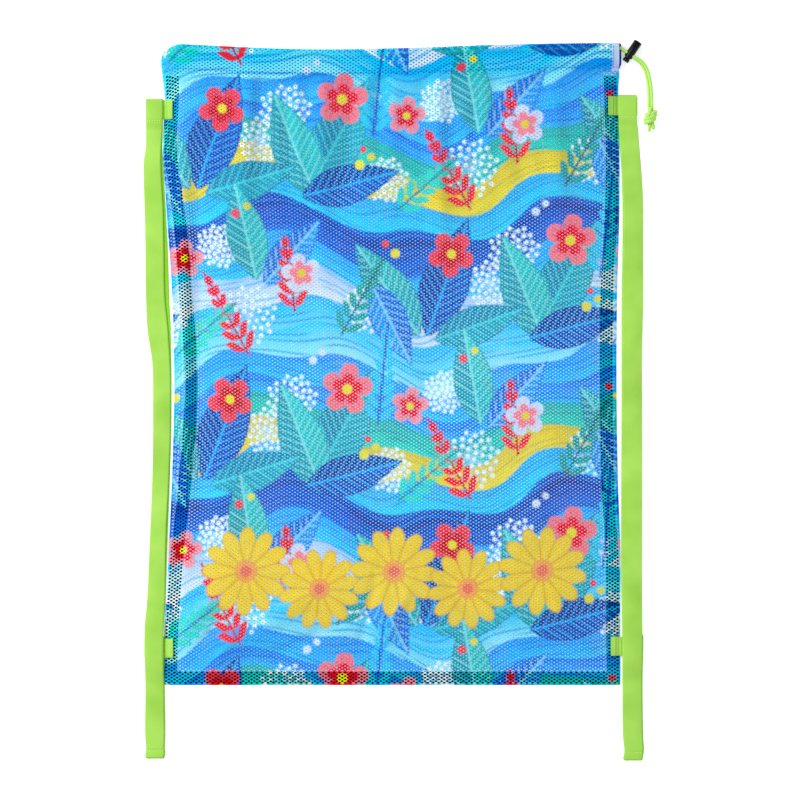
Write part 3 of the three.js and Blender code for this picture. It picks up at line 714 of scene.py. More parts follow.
def front_height(x, y):
    """Middle of the front panel's cloth: a low crown between the seams with its folds, which climbs to
    the casing at the mouth, swells over the cord and is drawn down at the stitches and sewn edges."""
    from_side = np.minimum(x - left_edge(y), right_edge(y) - x)
    from_bottom = y - BOTTOM
    top = mouth_edge(x)
    crown = rise_from_seam(from_side) * rise_from_seam(from_bottom)
    body = SEAM_HEIGHT + crown * (LOFT + fold_height(x, y) + pucker_height(x, y, top))
    sewn = np.clip(1 - np.minimum(from_side, from_bottom) / SEWN_WIDTH, 0, 1) ** 2
    body -= SEWN_DROP * sewn
    parted = 1 - np.clip(np.abs(x) / HALF_WIDTH, 0, 1) ** 4
    casing = 2 * CASING - CLOTH + GAP + MOUTH_GAP * parted
    cord_swell = CORD_SWELL * np.exp(-((top - CORD_DROP - y) / CORD_SWELL_WIDTH) ** 2)
    stitch_pull = STITCH_PULL * np.exp(-((top - HEM + STITCH_PULL_UP - y) / STITCH_PULL_WIDTH) ** 2)
    climbed = smoothstep(y, top - CASING_RAMP, top - LEVEL)
    return lerp(body, casing, climbed) + CLOTH / 2 + cord_swell - stitch_pull


def back_height(x, y):
    """Middle of the back panel's cloth, flat on the floor."""
    return np.full_like(x, CLOTH / 2)


def hem_spacing(below_mouth):
    """From the outer ply of a hem to its inner one: level over the tunnel, then closing to the seam."""
    return lerp(TUNNEL + CLOTH, CLOTH + GAP, smoothstep(below_mouth, LEVEL, HEM))


def panel_points(u, v, facing, height, inside, overhang=0.0):
    """A panel as a function of u across it and v along its cloth, both from 0 to 1: up from the bottom
    seam, round the fold at the mouth and down again as the hem. facing is 1 for the front panel, whose
    hem lies under it, and -1 for the back panel. inside sets the layer in from the middle of the cloth,
    and overhang is how far the open end of the casing stands out to the right."""
    def across(y, notch):
        """Places across the bag at heights on it."""
        left = left_edge(y) + notch
        right = right_edge(y) + overhang * smoothstep(y, *CASING_FLARE)
        return lerp(left, right, u)

    top = mouth_edge(across(np.full_like(u, MOUTH[0, 1]), 0))
    fold_y = top - CLOTH / 2 - FOLD_RADIUS
    body = fold_y - BOTTOM
    turn = np.pi * FOLD_RADIUS
    hem = fold_y - (top - HEM)
    place = v * (body + turn + hem)
    in_fold = np.clip((place - body) / turn, 0, 1)
    in_hem = np.clip((place - body - turn) / hem, 0, 1)
    radius = FOLD_RADIUS - inside
    flat_y = BOTTOM + np.clip(place, 0, body) - hem * in_hem
    x = across(flat_y, TURN_NOTCH * in_fold)
    outer = height(x, flat_y)
    drop = np.where(in_hem > 0, hem_spacing(top - flat_y) - inside,
                    inside + radius * (1 - np.cos(np.pi * in_fold)))
    y = flat_y + np.where(in_hem > 0, 0, radius * np.sin(np.pi * in_fold))
    return np.stack([x, y, outer - facing * drop], -1)


def net(width, length, openness):
    """A net over the unit square, for cloth of a given width and length. Hole (i, j) is a diamond at
    u = i and v = j steps, a quarter step up on odd columns and down on even ones. Strands are quads
    between the facing sides of neighbouring holes, and one more quad joins them between a hole and the
    one above it. The holes of the border are shrunk to points. openness(u, v) scales the others."""
    columns_in_all = round(width / HOLE_ACROSS) + 1
    rows_in_all = round(length / HOLE_ALONG) + 1
    i, j = np.meshgrid(np.arange(columns_in_all), np.arange(rows_in_all), indexing="ij")
    end_row = (j == 0) | (j == rows_in_all - 1)
    border = end_row | (i == 0) | (i == columns_in_all - 1)
    u = i / (columns_in_all - 1)
    v = (j + np.where(end_row, 0, np.where(i % 2 == 1, STAGGER, -STAGGER))) / (rows_in_all - 1)
    share = np.where(border, 0, openness(u, v))
    half_u = share * HOLE_HALF_WIDTH / width
    half_v = share * HOLE_HALF_LENGTH / length
    corner_u = np.stack([u - half_u, u + half_u, u, u], -1)
    corner_v = np.stack([v, v, v - half_v, v + half_v], -1)
    west, east, south, north = (4 * (i * rows_in_all + j) + np.where(border, 0, k) for k in range(4))
    quads = []
    for odd in (0, 1):
        columns = np.arange(odd, columns_in_all - 1, 2)[:, None]
        rows = np.arange(0, rows_in_all - odd)[None]
        beside = rows + odd
        quads.append((east[columns, rows], south[columns + 1, beside], west[columns + 1, beside],
                      north[columns, rows]))
        rows = np.arange(1 - odd, rows_in_all)[None]
        beside = rows - 1 + odd
        quads.append((east[columns, rows], south[columns, rows], west[columns + 1, beside],
                      north[columns + 1, beside]))
        columns = np.arange(odd, columns_in_all, 2)[:, None]
        rows = np.arange(rows_in_all - 1)[None]
        beside = rows + odd
        right = np.minimum(columns + 1, columns_in_all - 1)
        left = np.maximum(columns - 1, 0)
        quads.append((north[columns, rows],
                      np.where(right > columns, west[right, beside], north[columns, rows]),
                      south[columns, rows + 1],
                      np.where(left < columns, east[left, beside], south[columns, rows + 1])))
    quads = [np.stack(np.broadcast_arrays(*corners), -1).reshape(-1, 4) for corners in quads]
    quads = np.concatenate(quads)
    triangles = np.concatenate([quads[:, [0, 1, 2]], quads[:, [0, 2, 3]]])
    a, b, c = triangles.T
    triangles = triangles[(a != b) & (b != c) & (c != a)]
    used, triangles = np.unique(triangles, return_inverse=True)
    return corner_u.ravel()[used], corner_v.ravel()[used], triangles.reshape(-1, 3)


# Print: a garden of leaves and blossoms over flowing bands

REPEAT_WIDTH = 233.0
REPEAT_LENGTH = 300.0
SOFT_EDGE = 0.8  # blur of a printed edge
CONTOUR_PITCH = 6.0  # from one contour stroke of a band to the next
VEIN_PITCH = 9.0  # along a leaf
LEAFLET_PITCH = 13.0  # along a sprig
LEAFLET_LEAN = math.radians(50)
LEAFLET_LENGTH = 22.0
LEAFLET_HALF_WIDTH = 4.3
LACE_DOT = 2.3  # radius of a dot
DAISY_PETALS = 12
BANDS = (
    # height of a band, its colour at the foot, its colour at the top and that of its contour strokes
    (28, "#A8E6F6", "#58C6F0", "#1E94DA"),
    (24, "#7ED2FC", "#40B6F8", "#1E96EA"),
    (34, "#E4E8FD", "#B4CCFA", "#5CACF4"),
    (28, "#54C6FB", "#1EA4F2", "#1088E0"),
    (26, "#0A70D2", "#0854B4", "#0648A0"),
    (14, "#074094", "#0A58B6", "#187ADC"),
    (28, "#16CDF2", "#06A6E2", "#0890D2"),
    (28, "#F7DA20", "#E6C218", "#CDB22C"),
    (28, "#38CCBC", "#12A8AC", "#0C909C"),
    (22, "#4FB2F6", "#1680E0", "#0A5EC6"),
    (26, "#0ABAEA", "#1696F0", "#0A7ED4"),
)
LEAVES = (
    # x, y of the stalk, turn, length, light half, dark half, veins
    (30, 30, 62, 138, "#1AA6B8", "#0E86A6", "#7ADFE6"),
    (40, 26, 112, 120, "#3FC3C4", "#1496A8", "#A8E8EA"),
    (24, 30, 14, 104, "#0B5CB8", "#084290", "#46BAFA"),
    (150, 184, 70, 128, "#0B5CB8", "#084290", "#46BAFA"),
    (158, 180, 18, 100, "#1AA6B8", "#0E86A6", "#7ADFE6"),
    (142, 184, 124, 118, "#2FB2B8", "#0F88A0", "#A8E8EA"),
    (92, 240, -64, 96, "#169BE6", "#0F6CC6", "#A9DDFC"),
    (206, 92, 100, 104, "#3FC3C4", "#1496A8", "#A8E8EA"),
    (214, 88, 48, 92, "#169BE6", "#0F6CC6", "#A9DDFC"),
)
SPRIGS = (
    # x, y of the foot, turn, length, leaflet colour, stem colour
    (98, 92, 84, 108, "#17C0E8", "#0E66BE"),
    (196, 14, 118, 96, "#F0464F", "#C92B3C"),
    (60, 186, 60, 92, "#0F9C9C", "#0A6F7A"),
    (120, 14, 40, 84, "#58CFC4", "#1494A0"),
    (12, 210, 96, 80, "#F0464F", "#C92B3C"),
)
BLOSSOMS = (
    # x, y, turn, reach, edge colour, inner colour, eye colour
    (66, 130, 10, 27, "#F8838F", "#EC3A48", "#F4DC3A"),
    (176, 268, 50, 24, "#F2545E", "#CF2238", "#F4DC3A"),
    (20, 250, 30, 21, "#D7DCFA", "#F8838F", "#EACB26"),
    (132, 112, 80, 20, "#F79AA6", "#EC3A48", "#F4DC3A"),
)
BERRIES = (
    # x, y, radius, colour
    (84, 62, 5.0, "#F4DC3A"), (96, 70, 4.0, "#F4DC3A"), (88, 78, 3.4, "#F2545E"),
    (188, 160, 4.6, "#F2545E"), (200, 168, 3.8, "#F4DC3A"), (30, 160, 4.4, "#DDE3FB"),
    (40, 168, 3.6, "#DDE3FB"), (118, 270, 4.8, "#F4DC3A"), (108, 280, 3.8, "#F2545E"),
)
LACE = (
    # x, y, reach
    (196, 56, 30), (92, 214, 27), (110, 46, 23), (216, 236, 25), (8, 118, 27), (168, 126, 22),
)
LACE_DOTS = 46
DYE_BALANCE = (0.85, 1.05, 1.03)  # of the print's red, green and blue light
DYE_DEPTH = 1.3  # how far the dye is from the grey of its own light, against the colours listed
DAISY_ROW = {"y": -218.0, "first": -152.0, "step": 76.0, "count": 5, "reach": 46.0}


def soft(distance):
    """1 inside a printed edge and 0 outside it, with a narrow blur between."""
    return np.clip(distance / SOFT_EDGE + 0.5, 0, 1)


def lay(paint, where, colour, mask):
    """Prints a colour over what is there, by its mask, on the points that where picks out."""
    paint[where] += (np.array(linear(colour)[:3]) - paint[where]) * mask[:, None]


def copies_near(x, y, place_x, place_y, turn, reach):
    """Every half-drop copy of a motif: the points within its reach, and their places along and across
    the motif's own direction."""
    angle = math.radians(turn)
    for column in range(-2, 3):
        for row in range(-2, 3):
            dx = x - (place_x + (column - 0.5) * REPEAT_WIDTH)
            dy = y - (place_y + (row - 0.5 + 0.5 * (column % 2)) * REPEAT_LENGTH)
            where = np.flatnonzero((np.abs(dx) < reach) & (np.abs(dy) < reach))
            if len(where):
                dx, dy = dx[where], dy[where]
                yield (where, dx * math.cos(angle) + dy * math.sin(angle),
                       dy * math.cos(angle) - dx * math.sin(angle))


def print_bands(paint, x, y):
    """Bands that follow y plus two slow sines of x. Contour strokes run along them on a wobbling line
    and come and go with a slow sine, as engraved water does."""
    flow = y + 22 * np.sin(2 * np.pi * x / 330 + 0.7) + 9 * np.sin(2 * np.pi * (x / 141 + y / 260))
    total = sum(band[0] for band in BANDS)
    place = flow % total
    wobble = flow + 2.6 * np.sin(x / 15 + y / 40)
    line = soft(0.9 - np.abs(wobble % CONTOUR_PITCH - CONTOUR_PITCH / 2))
    stroke = line * smoothstep(np.sin(x / 31 + wobble // CONTOUR_PITCH * 2.1), -0.5, 0.1)
    everywhere = np.arange(len(x))
    foot = 0
    for height, low, high, contour in BANDS:
        inside = soft(place - foot) * soft(foot + height - place)
        lay(paint, everywhere, low, inside)
        lay(paint, everywhere, high, inside * np.clip((place - foot) / height, 0, 1))
        lay(paint, everywhere, contour, 0.85 * inside * stroke)
        foot += height


def print_leaves(paint, x, y):
    """Almond leaves: the half width is a sine of the share along them, with one half darker, veins
    that slant to the edge and a midrib."""
    for place_x, place_y, turn, length, light, dark, vein in LEAVES:
        for where, along, aside in copies_near(x, y, place_x, place_y, turn, length):
            share = np.clip(along / length, 0, 1)
            half = 0.2 * length * np.sin(np.pi * share**0.8)
            inside = soft(half - np.abs(aside)) * (along > 0) * (along < length)
            veins = soft(0.8 - np.abs((along - 0.9 * np.abs(aside)) % VEIN_PITCH - VEIN_PITCH / 2))
            lay(paint, where, light, inside)
            lay(paint, where, dark, inside * np.maximum(soft(aside), 0.6 * (1 - share)))
            lay(paint, where, vein, 0.75 * inside * np.maximum(veins, soft(1.2 - np.abs(aside))))
            lay(paint, where, dark, inside * soft(1.3 - half + np.abs(aside)))


def print_sprigs(paint, x, y):
    """Sprigs: a stem with pairs of leaflets that lean out from it, each a lens along its own axis."""
    for place_x, place_y, turn, length, leaflet, stem in SPRIGS:
        for where, along, aside in copies_near(x, y, place_x, place_y, turn, length):
            foot = along - np.abs(aside) / math.tan(LEAFLET_LEAN)
            reach = np.abs(aside) / math.sin(LEAFLET_LEAN)
            longest = LEAFLET_LENGTH * np.clip(1.15 - foot / length, 0.25, 1)
            off_axis = np.abs(foot % LEAFLET_PITCH - LEAFLET_PITCH / 2) * math.sin(LEAFLET_LEAN)
            half = LEAFLET_HALF_WIDTH * np.sin(np.pi * np.clip(reach / longest, 0, 1))
            inside = soft(half - off_axis) * (foot > 0) * (foot < length * 0.92) * (reach < longest)
            lay(paint, where, leaflet, inside)
            lay(paint, where, stem, soft(1.3 - np.abs(aside)) * (along > 0) * (along < length))


def print_blossoms(paint, x, y):
    """Five-petalled blossoms: the outline's radius swells with the cosine of two and a half times the
    angle, and an inner tone, fine rays and an eye lie inside it."""
    for place_x, place_y, turn, reach, edge, inner, eye in BLOSSOMS:
        for where, along, aside in copies_near(x, y, place_x, place_y, turn, 1.1 * reach):
            radius = np.hypot(along, aside)
            angle = np.arctan2(aside, along)
            outline = reach * (0.5 + 0.5 * np.abs(np.cos(2.5 * angle)) ** 0.6)
            rays = soft(0.8 - np.abs((angle * 20 / np.pi) % 2 - 1) * radius * 0.16)
            lay(paint, where, edge, soft(outline - radius))
            lay(paint, where, inner, soft(0.6 * outline - radius))
            lay(paint, where, inner, 0.5 * rays * soft(0.85 * outline - radius))
            lay(paint, where, eye, soft(0.2 * reach - radius))


def print_berries(paint, x, y):
    """Round berries."""
    for place_x, place_y, radius, colour in BERRIES:
        for where, along, aside in copies_near(x, y, place_x, place_y, 0, 2 * radius):
            lay(paint, where, colour, soft(radius - np.hypot(along, aside)))


def print_lace(paint, x, y):
    """White lace flowers: a head of dots on a sunflower's spiral, each a golden angle on from the last
    and further out by the root of its number, over thin pale rays."""
    number = np.arange(LACE_DOTS)
    turn = number * np.pi * (3 - math.sqrt(5))
    out = np.sqrt((number + 0.5) / LACE_DOTS)
    for place_x, place_y, reach in LACE:
        for where, along, aside in copies_near(x, y, place_x, place_y, 0, 1.15 * reach):
            radius = np.hypot(along, aside)
            rays = soft(0.7 - np.abs((np.arctan2(aside, along) * 7 / np.pi) % 1 - 0.5) * radius * 0.45)
            gap = np.hypot(along[:, None] - reach * out * np.cos(turn),
                           aside[:, None] - reach * out * np.sin(turn))
            lay(paint, where, "#BFD6FB", 0.8 * rays * soft(0.9 * reach - radius))
            lay(paint, where, "#F6F8FF", soft(LACE_DOT - gap.min(axis=1)))


def print_daisies(paint, x, y):
    """A row of large yellow daisies, once across the front panel: the outline's radius swells with the
    cosine of half the petals' number times the angle, and lit petals, rays and an eye lie inside it."""
    for k in range(DAISY_ROW["count"]):
        dx = x - (DAISY_ROW["first"] + k * DAISY_ROW["step"])
        dy = y - (DAISY_ROW["y"] + 9 * (-1) ** k)
        reach = DAISY_ROW["reach"] - 4 * (k % 2)
        where = np.flatnonzero((np.abs(dx) < reach) & (np.abs(dy) < reach))
        dx, dy = dx[where], dy[where]
        radius = np.hypot(dx, dy)
        angle = np.arctan2(dy, dx) + 0.3 * k
        on_petal = np.abs(np.cos(DAISY_PETALS / 2 * angle))
        off_ray = np.abs(np.sin(DAISY_PETALS / 2 * angle)) * radius
        outline = reach * (0.66 + 0.34 * on_petal ** 0.7)
        lay(paint, where, "#DDB008", soft(outline - radius))
        lay(paint, where, "#F0D00C", soft(outline - 1.8 - radius) * soft(on_petal * radius / 6 - 0.9))
        lay(paint, where, "#F7DE34", 0.8 * soft(0.9 - off_ray * 0.3) * soft(0.8 * outline - radius))
        lay(paint, where, "#F2A23C", soft(0.26 * reach - radius))
        lay(paint, where, "#EE6A4E", soft(0.13 * reach - radius))


def print_colours(x, y, daisies):
    """Linear colours of the print at places on the flat cloth."""
    paint = np.zeros((len(x), 3))
    for layer in (print_bands, print_lace, print_leaves, print_sprigs, print_blossoms, print_berries):
        layer(paint, x, y)
    grey = paint @ (0.2126, 0.7152, 0.0722)
    paint = np.clip(lerp(grey[:, None], paint, DYE_DEPTH) * DYE_BALANCE, 0, 1)
    if daisies:
        print_daisies(paint, x, y)
    return paint


def put_net(name, points, u, v, triangles, material, colours):
    """A net as a piece, with its print as a colour on each point and the flat cloth as its bake map."""
    piece = put_piece(name, points, triangles, material)
    tint = piece.data.color_attributes.new("print", "FLOAT_COLOR", "POINT")
    rgba = np.concatenate([colours, np.ones((len(colours), 1))], axis=1)
    tint.data.foreach_set("color", rgba.astype(np.float32).ravel())
    flat = np.stack([u, v], -1)[triangles]
    piece.data.uv_layers.new(name="OFBake").data.foreach_set("uv", flat.astype(np.float32).ravel())
    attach(piece, "bag")
    return piece


CASING_FROM = 1 - 2 * (HEM + 3) / CLOTH_LENGTH  # share of the cloth's length below the casing
CASING_FOLD = 1 - (HEM - 1) / CLOTH_LENGTH  # and below the casing's inner ply
CASING_EDGE = 7.0  # width of the turned edge at the open end of a casing
TAPE_MARGIN = 3.0  # strip beside a tape in which its pull on the net fades
TAPE_PULL = 0.54  # how much wider holes are pulled over a tape
TAPE_PAINTED_LIGHT = 0.3  # painted light: how much brighter the print is drawn over a tape, for the light that the black tape keeps from coming up through the net
SHUT = 0.15  # openness of the holes where the cloth is turned in
ROLLED = 0.4  # where the edge is rolled under
BACK_OPEN = 0.92  # on the back panel
BACK_CASING_OPEN = 0.7  # and on its casing
FRONT_END_DYE = ("#C9D0F3", np.array([0.85]))  # colour and its strength on the front casing's turned edge
FRONT_PLY_SHADE = ("#2480BC", np.array([0.85]))  # and as painted shade on its inner ply, which lies in shade between the plies
BACK_END_SHADE = ("#123E9C", np.array([0.9]))  # and as painted shade on the back casing's turned edge, which lies in shade inside the open end
FRONT_OVERHANG = 1.5  # how far the open end of the casing stands out
BACK_OVERHANG = 4.0
BACK_FACE = -0.1  # the back panel's outer net, in from the middle of its cloth
BACK_REVERSE = 0.3  # and its inner net
BACK_PRINT_SHIFT = 92.0  # where the back panel was cut from the print, against the front one
WALL_WIDTH = 16.0  # of its cloth, from panel to panel
WALL_OPENNESS = 0.8
WALL_BULGE = 0.3  # as a share of its height
WALL_ROUNDED = (-8.0, 2.0)  # stretch about its upper end in which the bulge narrows
WALLS = (
    # side, its edge, way out, lower end, upper end
    ("left", left_edge, -1, 250.0, 315.0),
    ("right", right_edge, 1, 250.0, 300.0),
)


def casing_end(u, v):
    """True on the turned edge at the open right end of the casing."""
    return (v > CASING_FROM) & (u > 1 - CASING_EDGE / (2 * HALF_WIDTH))


def over_tape(distance):
    """1 where the binding tape lies, by the distance from the tape's outer edge."""
    return (smoothstep(distance, -TAPE_MARGIN, 0)
            * smoothstep(-distance, -TAPE_WIDTH - TAPE_MARGIN, -TAPE_WIDTH))


def over_bindings(u, v):
    """1 where the front panel is stretched over a binding tape, 0 elsewhere and in the casing."""
    y = BOTTOM + v * CLOTH_LENGTH
    from_left = u * 2 * HALF_WIDTH
    from_right = 2 * HALF_WIDTH - from_left
    bound = np.maximum(over_tape(from_left - seam_left(y)), over_tape(from_right - seam_right(y)))
    return np.where(v > CASING_FROM, 0, np.maximum(bound, over_tape(y - BOTTOM - TAPE_INSET)))


def front_openness(u, v):
    """Holes are full size on the body and the casing, pulled wider over the bound seams, closer where
    the right edge is rolled under and all but shut on the casing's turned edge."""
    rolled = (2 * HALF_WIDTH * (1 - u) < seam_right(BOTTOM + v * CLOTH_LENGTH)) & (v < CASING_FROM)
    body = np.where(rolled, ROLLED, 1 + TAPE_PULL * over_bindings(u, v))
    return np.where(casing_end(u, v), SHUT, body)


def back_openness(u, v):
    """Holes are a little smaller than on the front panel, and smaller still in the casing."""
    return np.where(v > CASING_FROM, BACK_CASING_OPEN, BACK_OPEN)


def add_walls():
    """The cloth between the panels at the ends of the mouth: half an oval from the front panel's edge
    down to the back panel's, at every height along the edge. It is rounded off towards its upper end."""
    made = []
    for side, edge, outward, low, high in WALLS:
        u, v, triangles = net(WALL_WIDTH, high - low, lambda u, v: np.full_like(u, WALL_OPENNESS))
        y = lerp(low, high, v)
        upper = front_height(edge(y), y)
        lower = np.full_like(y, CLOTH / 2)
        rounding = np.sqrt(np.clip(1.02 - smoothstep(y - high, *WALL_ROUNDED), 0, 1))
        bulge = WALL_BULGE * (upper - lower) * rounding
        turn = np.pi * u
        points = np.stack([edge(y) + outward * bulge * np.sin(turn), y,
                           lerp(lower, upper, (1 + np.cos(turn)) / 2)], -1)
        colours = print_colours(outward * (HALF_WIDTH + WALL_WIDTH * u), y, False)
        facing = triangles if outward > 0 else triangles[:, ::-1]
        wall = put_net("wall_" + side, points, u, v, facing, MESH_CLOTH, colours)
        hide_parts("front_panel")
        made.append(wall)
    return made


def add_front():
    """The front panel: its net with the print and the daisies, pale on the casing's turned edge, with
    painted shade in deep blue on the inner ply, which lies in shade between the plies, and with painted
    light over the tapes, where the print is drawn brighter."""
    u, v, triangles = net(2 * HALF_WIDTH, CLOTH_LENGTH, front_openness)
    colours = print_colours((u - 0.5) * 2 * HALF_WIDTH, BOTTOM + v * CLOTH_LENGTH, True)
    lay(colours, np.flatnonzero(casing_end(u, v)), *FRONT_END_DYE)
    # Painted shade: the casing's inner ply lies in shade between the plies, so it is drawn deep blue.
    lay(colours, np.flatnonzero(v > CASING_FOLD), *FRONT_PLY_SHADE)
    # Painted light: the print over the tapes is drawn brighter.
    colours = np.clip(colours * (1 + TAPE_PAINTED_LIGHT * over_bindings(u, v))[:, None], 0, 1)
    points = panel_points(u, v, 1, front_height, 0.0, FRONT_OVERHANG)
    front = put_net("front_panel_net", points, u, v, triangles, MESH_CLOTH, colours)
    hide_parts("front_panel")
    return front


def add_back():
    """The back panel: a net that faces the floor with its print and one just above it that faces into
    the bag with its reverse."""
    u, v, triangles = net(2 * HALF_WIDTH, CLOTH_LENGTH, back_openness)
    flat_y = BOTTOM + v * CLOTH_LENGTH
    colours = print_colours((0.5 - u) * 2 * HALF_WIDTH, flat_y + BACK_PRINT_SHIFT, False)
    # Painted shade: the back casing's turned edge, in shade inside the open end, is drawn deep blue.
    lay(colours, np.flatnonzero(casing_end(u, v)), *BACK_END_SHADE)
    points = panel_points(u, v, -1, back_height, BACK_FACE, BACK_OVERHANG)
    back = put_net("back_panel_net", points, u, v, triangles[:, ::-1], MESH_CLOTH, colours)
    points = panel_points(u, v, -1, back_height, BACK_REVERSE, BACK_OVERHANG)
    reverse = put_net("back_panel_reverse", points, u, v, triangles, MESH_REVERSE, colours)
    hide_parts("back_panel")
    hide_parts("back_panel")
    return back, reverse


def add_panels():
    """Both panels and the walls at the ends of the mouth, as two sheets cut to the same size."""
    front = add_front()
    back, reverse = add_back()
    walls = add_walls()


add_panels()


# Narrow fabrics

BAND_STATIONS = 120  # along a tab or a tape
FLAT_POINTS = 9  # across the flat of a band
BEND_POINTS = 5  # round its edge


def band_section(width, thickness):
    """The outline of a flat band with rounded edges, as places across it and heights."""
    half = width / 2 - thickness / 2
    flat = np.linspace(-half, half, FLAT_POINTS)
    face = np.full(FLAT_POINTS, thickness / 2)
    bend = np.linspace(-np.pi / 2, np.pi / 2, BEND_POINTS)[1:-1]
    round_edge = half + thickness / 2 * np.cos(bend)
    climb = thickness / 2 * np.sin(bend)
    across = np.concatenate([flat, round_edge, flat[::-1], -round_edge])
    lift = np.concatenate([-face, climb, face, -climb])
    return across, lift


def band_rings(path, axis, section_across, section_lift):
    """Rings of a band that keeps flat across a fixed axis: places across go along the axis and heights
    along the path's normal, which is square to the axis."""
    axis = np.array(axis, float)
    normal = unit(np.cross(np.gradient(path, axis=0), axis))
    normal *= np.sign(np.sum(normal[:1] * (0, 0, 1)))
    return (path[:, None] + section_across[..., None] * axis
            + section_lift[..., None] * normal[:, None])


def add_bindings():
    """Black tape over the seams inside the bag: a flat band along each sewn edge. The side tapes stop
    short of the bottom one and of the hem."""
    y = np.linspace(BOTTOM + TAPE_WIDTH + TAPE_INSET + GAP, MOUTH[0, 1] - HEM - GAP, BAND_STATIONS)
    x = np.linspace(TAPE_INSET - HALF_WIDTH, HALF_WIDTH - TAPE_INSET, BAND_STATIONS)
    half = TAPE_WIDTH / 2
    middles = {
        "left": (left_edge(y) + seam_left(y) + half, y, (1, 0, 0)),
        "right": (right_edge(y) - seam_right(y) - half, y, (1, 0, 0)),
        "bottom": (x, np.full_like(x, BOTTOM + TAPE_INSET + half), (0, 1, 0)),
    }
    across, lift = band_section(TAPE_WIDTH, TAPE)
    for side, (x, y, axis) in middles.items():
        path = np.stack([x, y, np.full_like(x, TAPE_HEIGHT)], -1)
        tape = closed_sweep("binding_" + side, band_rings(path, axis, across, lift), BLACK_TAPE)
        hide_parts("seam_binding_" + side)


TABS = {
    # y of its middle, outer end, inner end
    "upper_left": (259.0, -251.0, -223.5),
    "upper_right": (263.0, 250.0, 220.5),
    "lower_left": (-289.5, -252.5, -223.0),
    "lower_right": (-287.5, 253.0, 223.0),
}
TAB_REST = 2.6  # height of a tab's middle at its outer end
TAB_CLIMB = 3.8  # and where it leaves the strap
TAB_CLEAR = 0.9  # from there to the bag's edge
TAB_STEP = (-1.0, 3.0)  # stretch about the edge in which it steps on to the bag
TAB_SEAT = 0.45  # from the front panel to a tab's underside
TAB_TURNED = 5.6  # width of the turned-under inner end
TAB_GROOVE = 0.6  # depth of the groove beside it
TAB_GROOVE_WIDTH = 0.7


def tab_height(name, x):
    """Middle of a tab along its length: a slow climb in the strap's loop, then over the bag's edge and
    along the front panel, with a groove where the turned-under end stops."""
    y, outer, inner = TABS[name]
    outward = np.sign(outer)
    edge = (left_edge if outward < 0 else right_edge)(y)
    over = front_height(x, np.full_like(x, y)) + CLOTH / 2 + TAB_SEAT + WEBBING / 2
    over -= TAB_GROOVE * np.exp(-((x - inner - outward * TAB_TURNED) / TAB_GROOVE_WIDTH) ** 2)
    in_loop = lerp(TAB_REST, TAB_CLIMB, np.clip((outer - x) / (outer - edge - outward * TAB_CLEAR), 0, 1))
    return lerp(in_loop, over, smoothstep((edge - x) * outward, *TAB_STEP))


def add_tabs():
    """Tabs: the section of a flat band carried along each tab's heights."""
    across, lift = band_section(TAB_WIDTH, WEBBING)
    for name, (y, outer, inner) in TABS.items():
        x = np.linspace(outer, inner, BAND_STATIONS)
        path = np.stack([x, np.full_like(x, y), tab_height(name, x)], -1)
        tab = closed_sweep("tab_" + name + "_band", band_rings(path, (0, 1, 0), across, lift), LIME_WEBBING)
        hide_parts("tab_" + name)


STRAPS = {
    "left": {
        "lower_end": -401.0,
        "return_shift": 0.9,
        "edges": np.array([
            # y, outer edge, inner edge of the upper ply, inner edge of the lower ply
            (-402.0, -251.7, -233.2, -232.8),
            (-397.0, -251.5, -232.0, -231.6),
            (-392.0, -250.8, -232.5, -231.9),
            (-384.0, -251.4, -232.2, -231.6),
            (-332.0, -251.4, -232.6, -231.8),
            (-299.0, -251.9, -233.1, -232.9),
            (-266.0, -251.9, -232.6, -232.4),
            (-241.0, -249.9, -231.5, -230.9),
            (-200.0, -247.9, -231.0, -229.5),
            (-37.0, -243.8, -225.6, -224.8),
            (4.0, -244.8, -226.4, -225.0),
            (35.0, -249.4, -228.5, -225.6),
            (65.0, -250.9, -231.5, -227.0),
            (116.0, -251.4, -232.6, -228.6),
            (162.0, -252.5, -233.6, -231.0),
            (188.0, -253.3, -235.1, -232.4),
            (208.0, -253.1, -235.9, -233.4),
            (220.0, -251.4, -235.6, -234.2),
            (234.0, -250.9, -234.6, -233.9),
            (248.0, -250.9, -233.6, -233.4),
            (273.0, -250.9, -233.6, -233.4),
        ]),
    },
    "right": {
        "lower_end": -403.0,
        "return_shift": 1.1,
        "edges": np.array([
            # y, outer edge, inner edge of the upper ply, inner edge of the lower ply
            (-405.0, 253.9, 235.1, 235.0),
            (-396.5, 255.7, 236.7, 236.6),
            (-381.0, 255.2, 235.8, 235.6),
            (-332.0, 254.5, 235.1, 234.9),
            (-277.0, 255.0, 234.6, 234.4),
            (-200.0, 255.0, 234.0, 233.7),
            (-37.0, 255.0, 234.6, 233.9),
            (14.0, 255.0, 234.6, 233.9),
            (65.0, 256.0, 234.6, 234.0),
            (116.0, 256.0, 235.6, 234.8),
            (167.0, 256.0, 235.6, 234.8),
            (218.0, 252.7, 232.9, 232.7),
            (236.0, 251.2, 231.6, 231.4),
            (250.0, 249.6, 230.9, 230.8),
            (276.0, 249.6, 230.9, 230.8),
        ]),
    },
}
FIRST_OF_MAIN = 3  # stop that a strap's main run leads to first
LAST_OF_MAIN = 10  # and last
LOOP_BULGE = 1.2  # how far a fold stands out past its end
LONG_RUN = 200.0  # a run longer than this has wider steps
LONG_STEP = 3.0
SHORT_STEP = 1.0
FOLD_STEPS = 10  # round a fold
PLY_POINTS = 13  # across a ply
PLY_EDGE = 0.15  # how far a ply's corners stand back from its edge
SLIT = 0.07  # half the space between the plies
RIM_POINTS = 9  # round the fold at the outer edge
CURL = 0.7  # how far the upper ply's edge stands up where the lower one shows
CURL_SHOWS = 2.0  # how far the lower ply shows where the curl is full
UPPER_SEAM = 1.6  # from the upper tab down to the seam across the strap
LOWER_SEAM = 7.0  # from the strap's lower end up to the other one
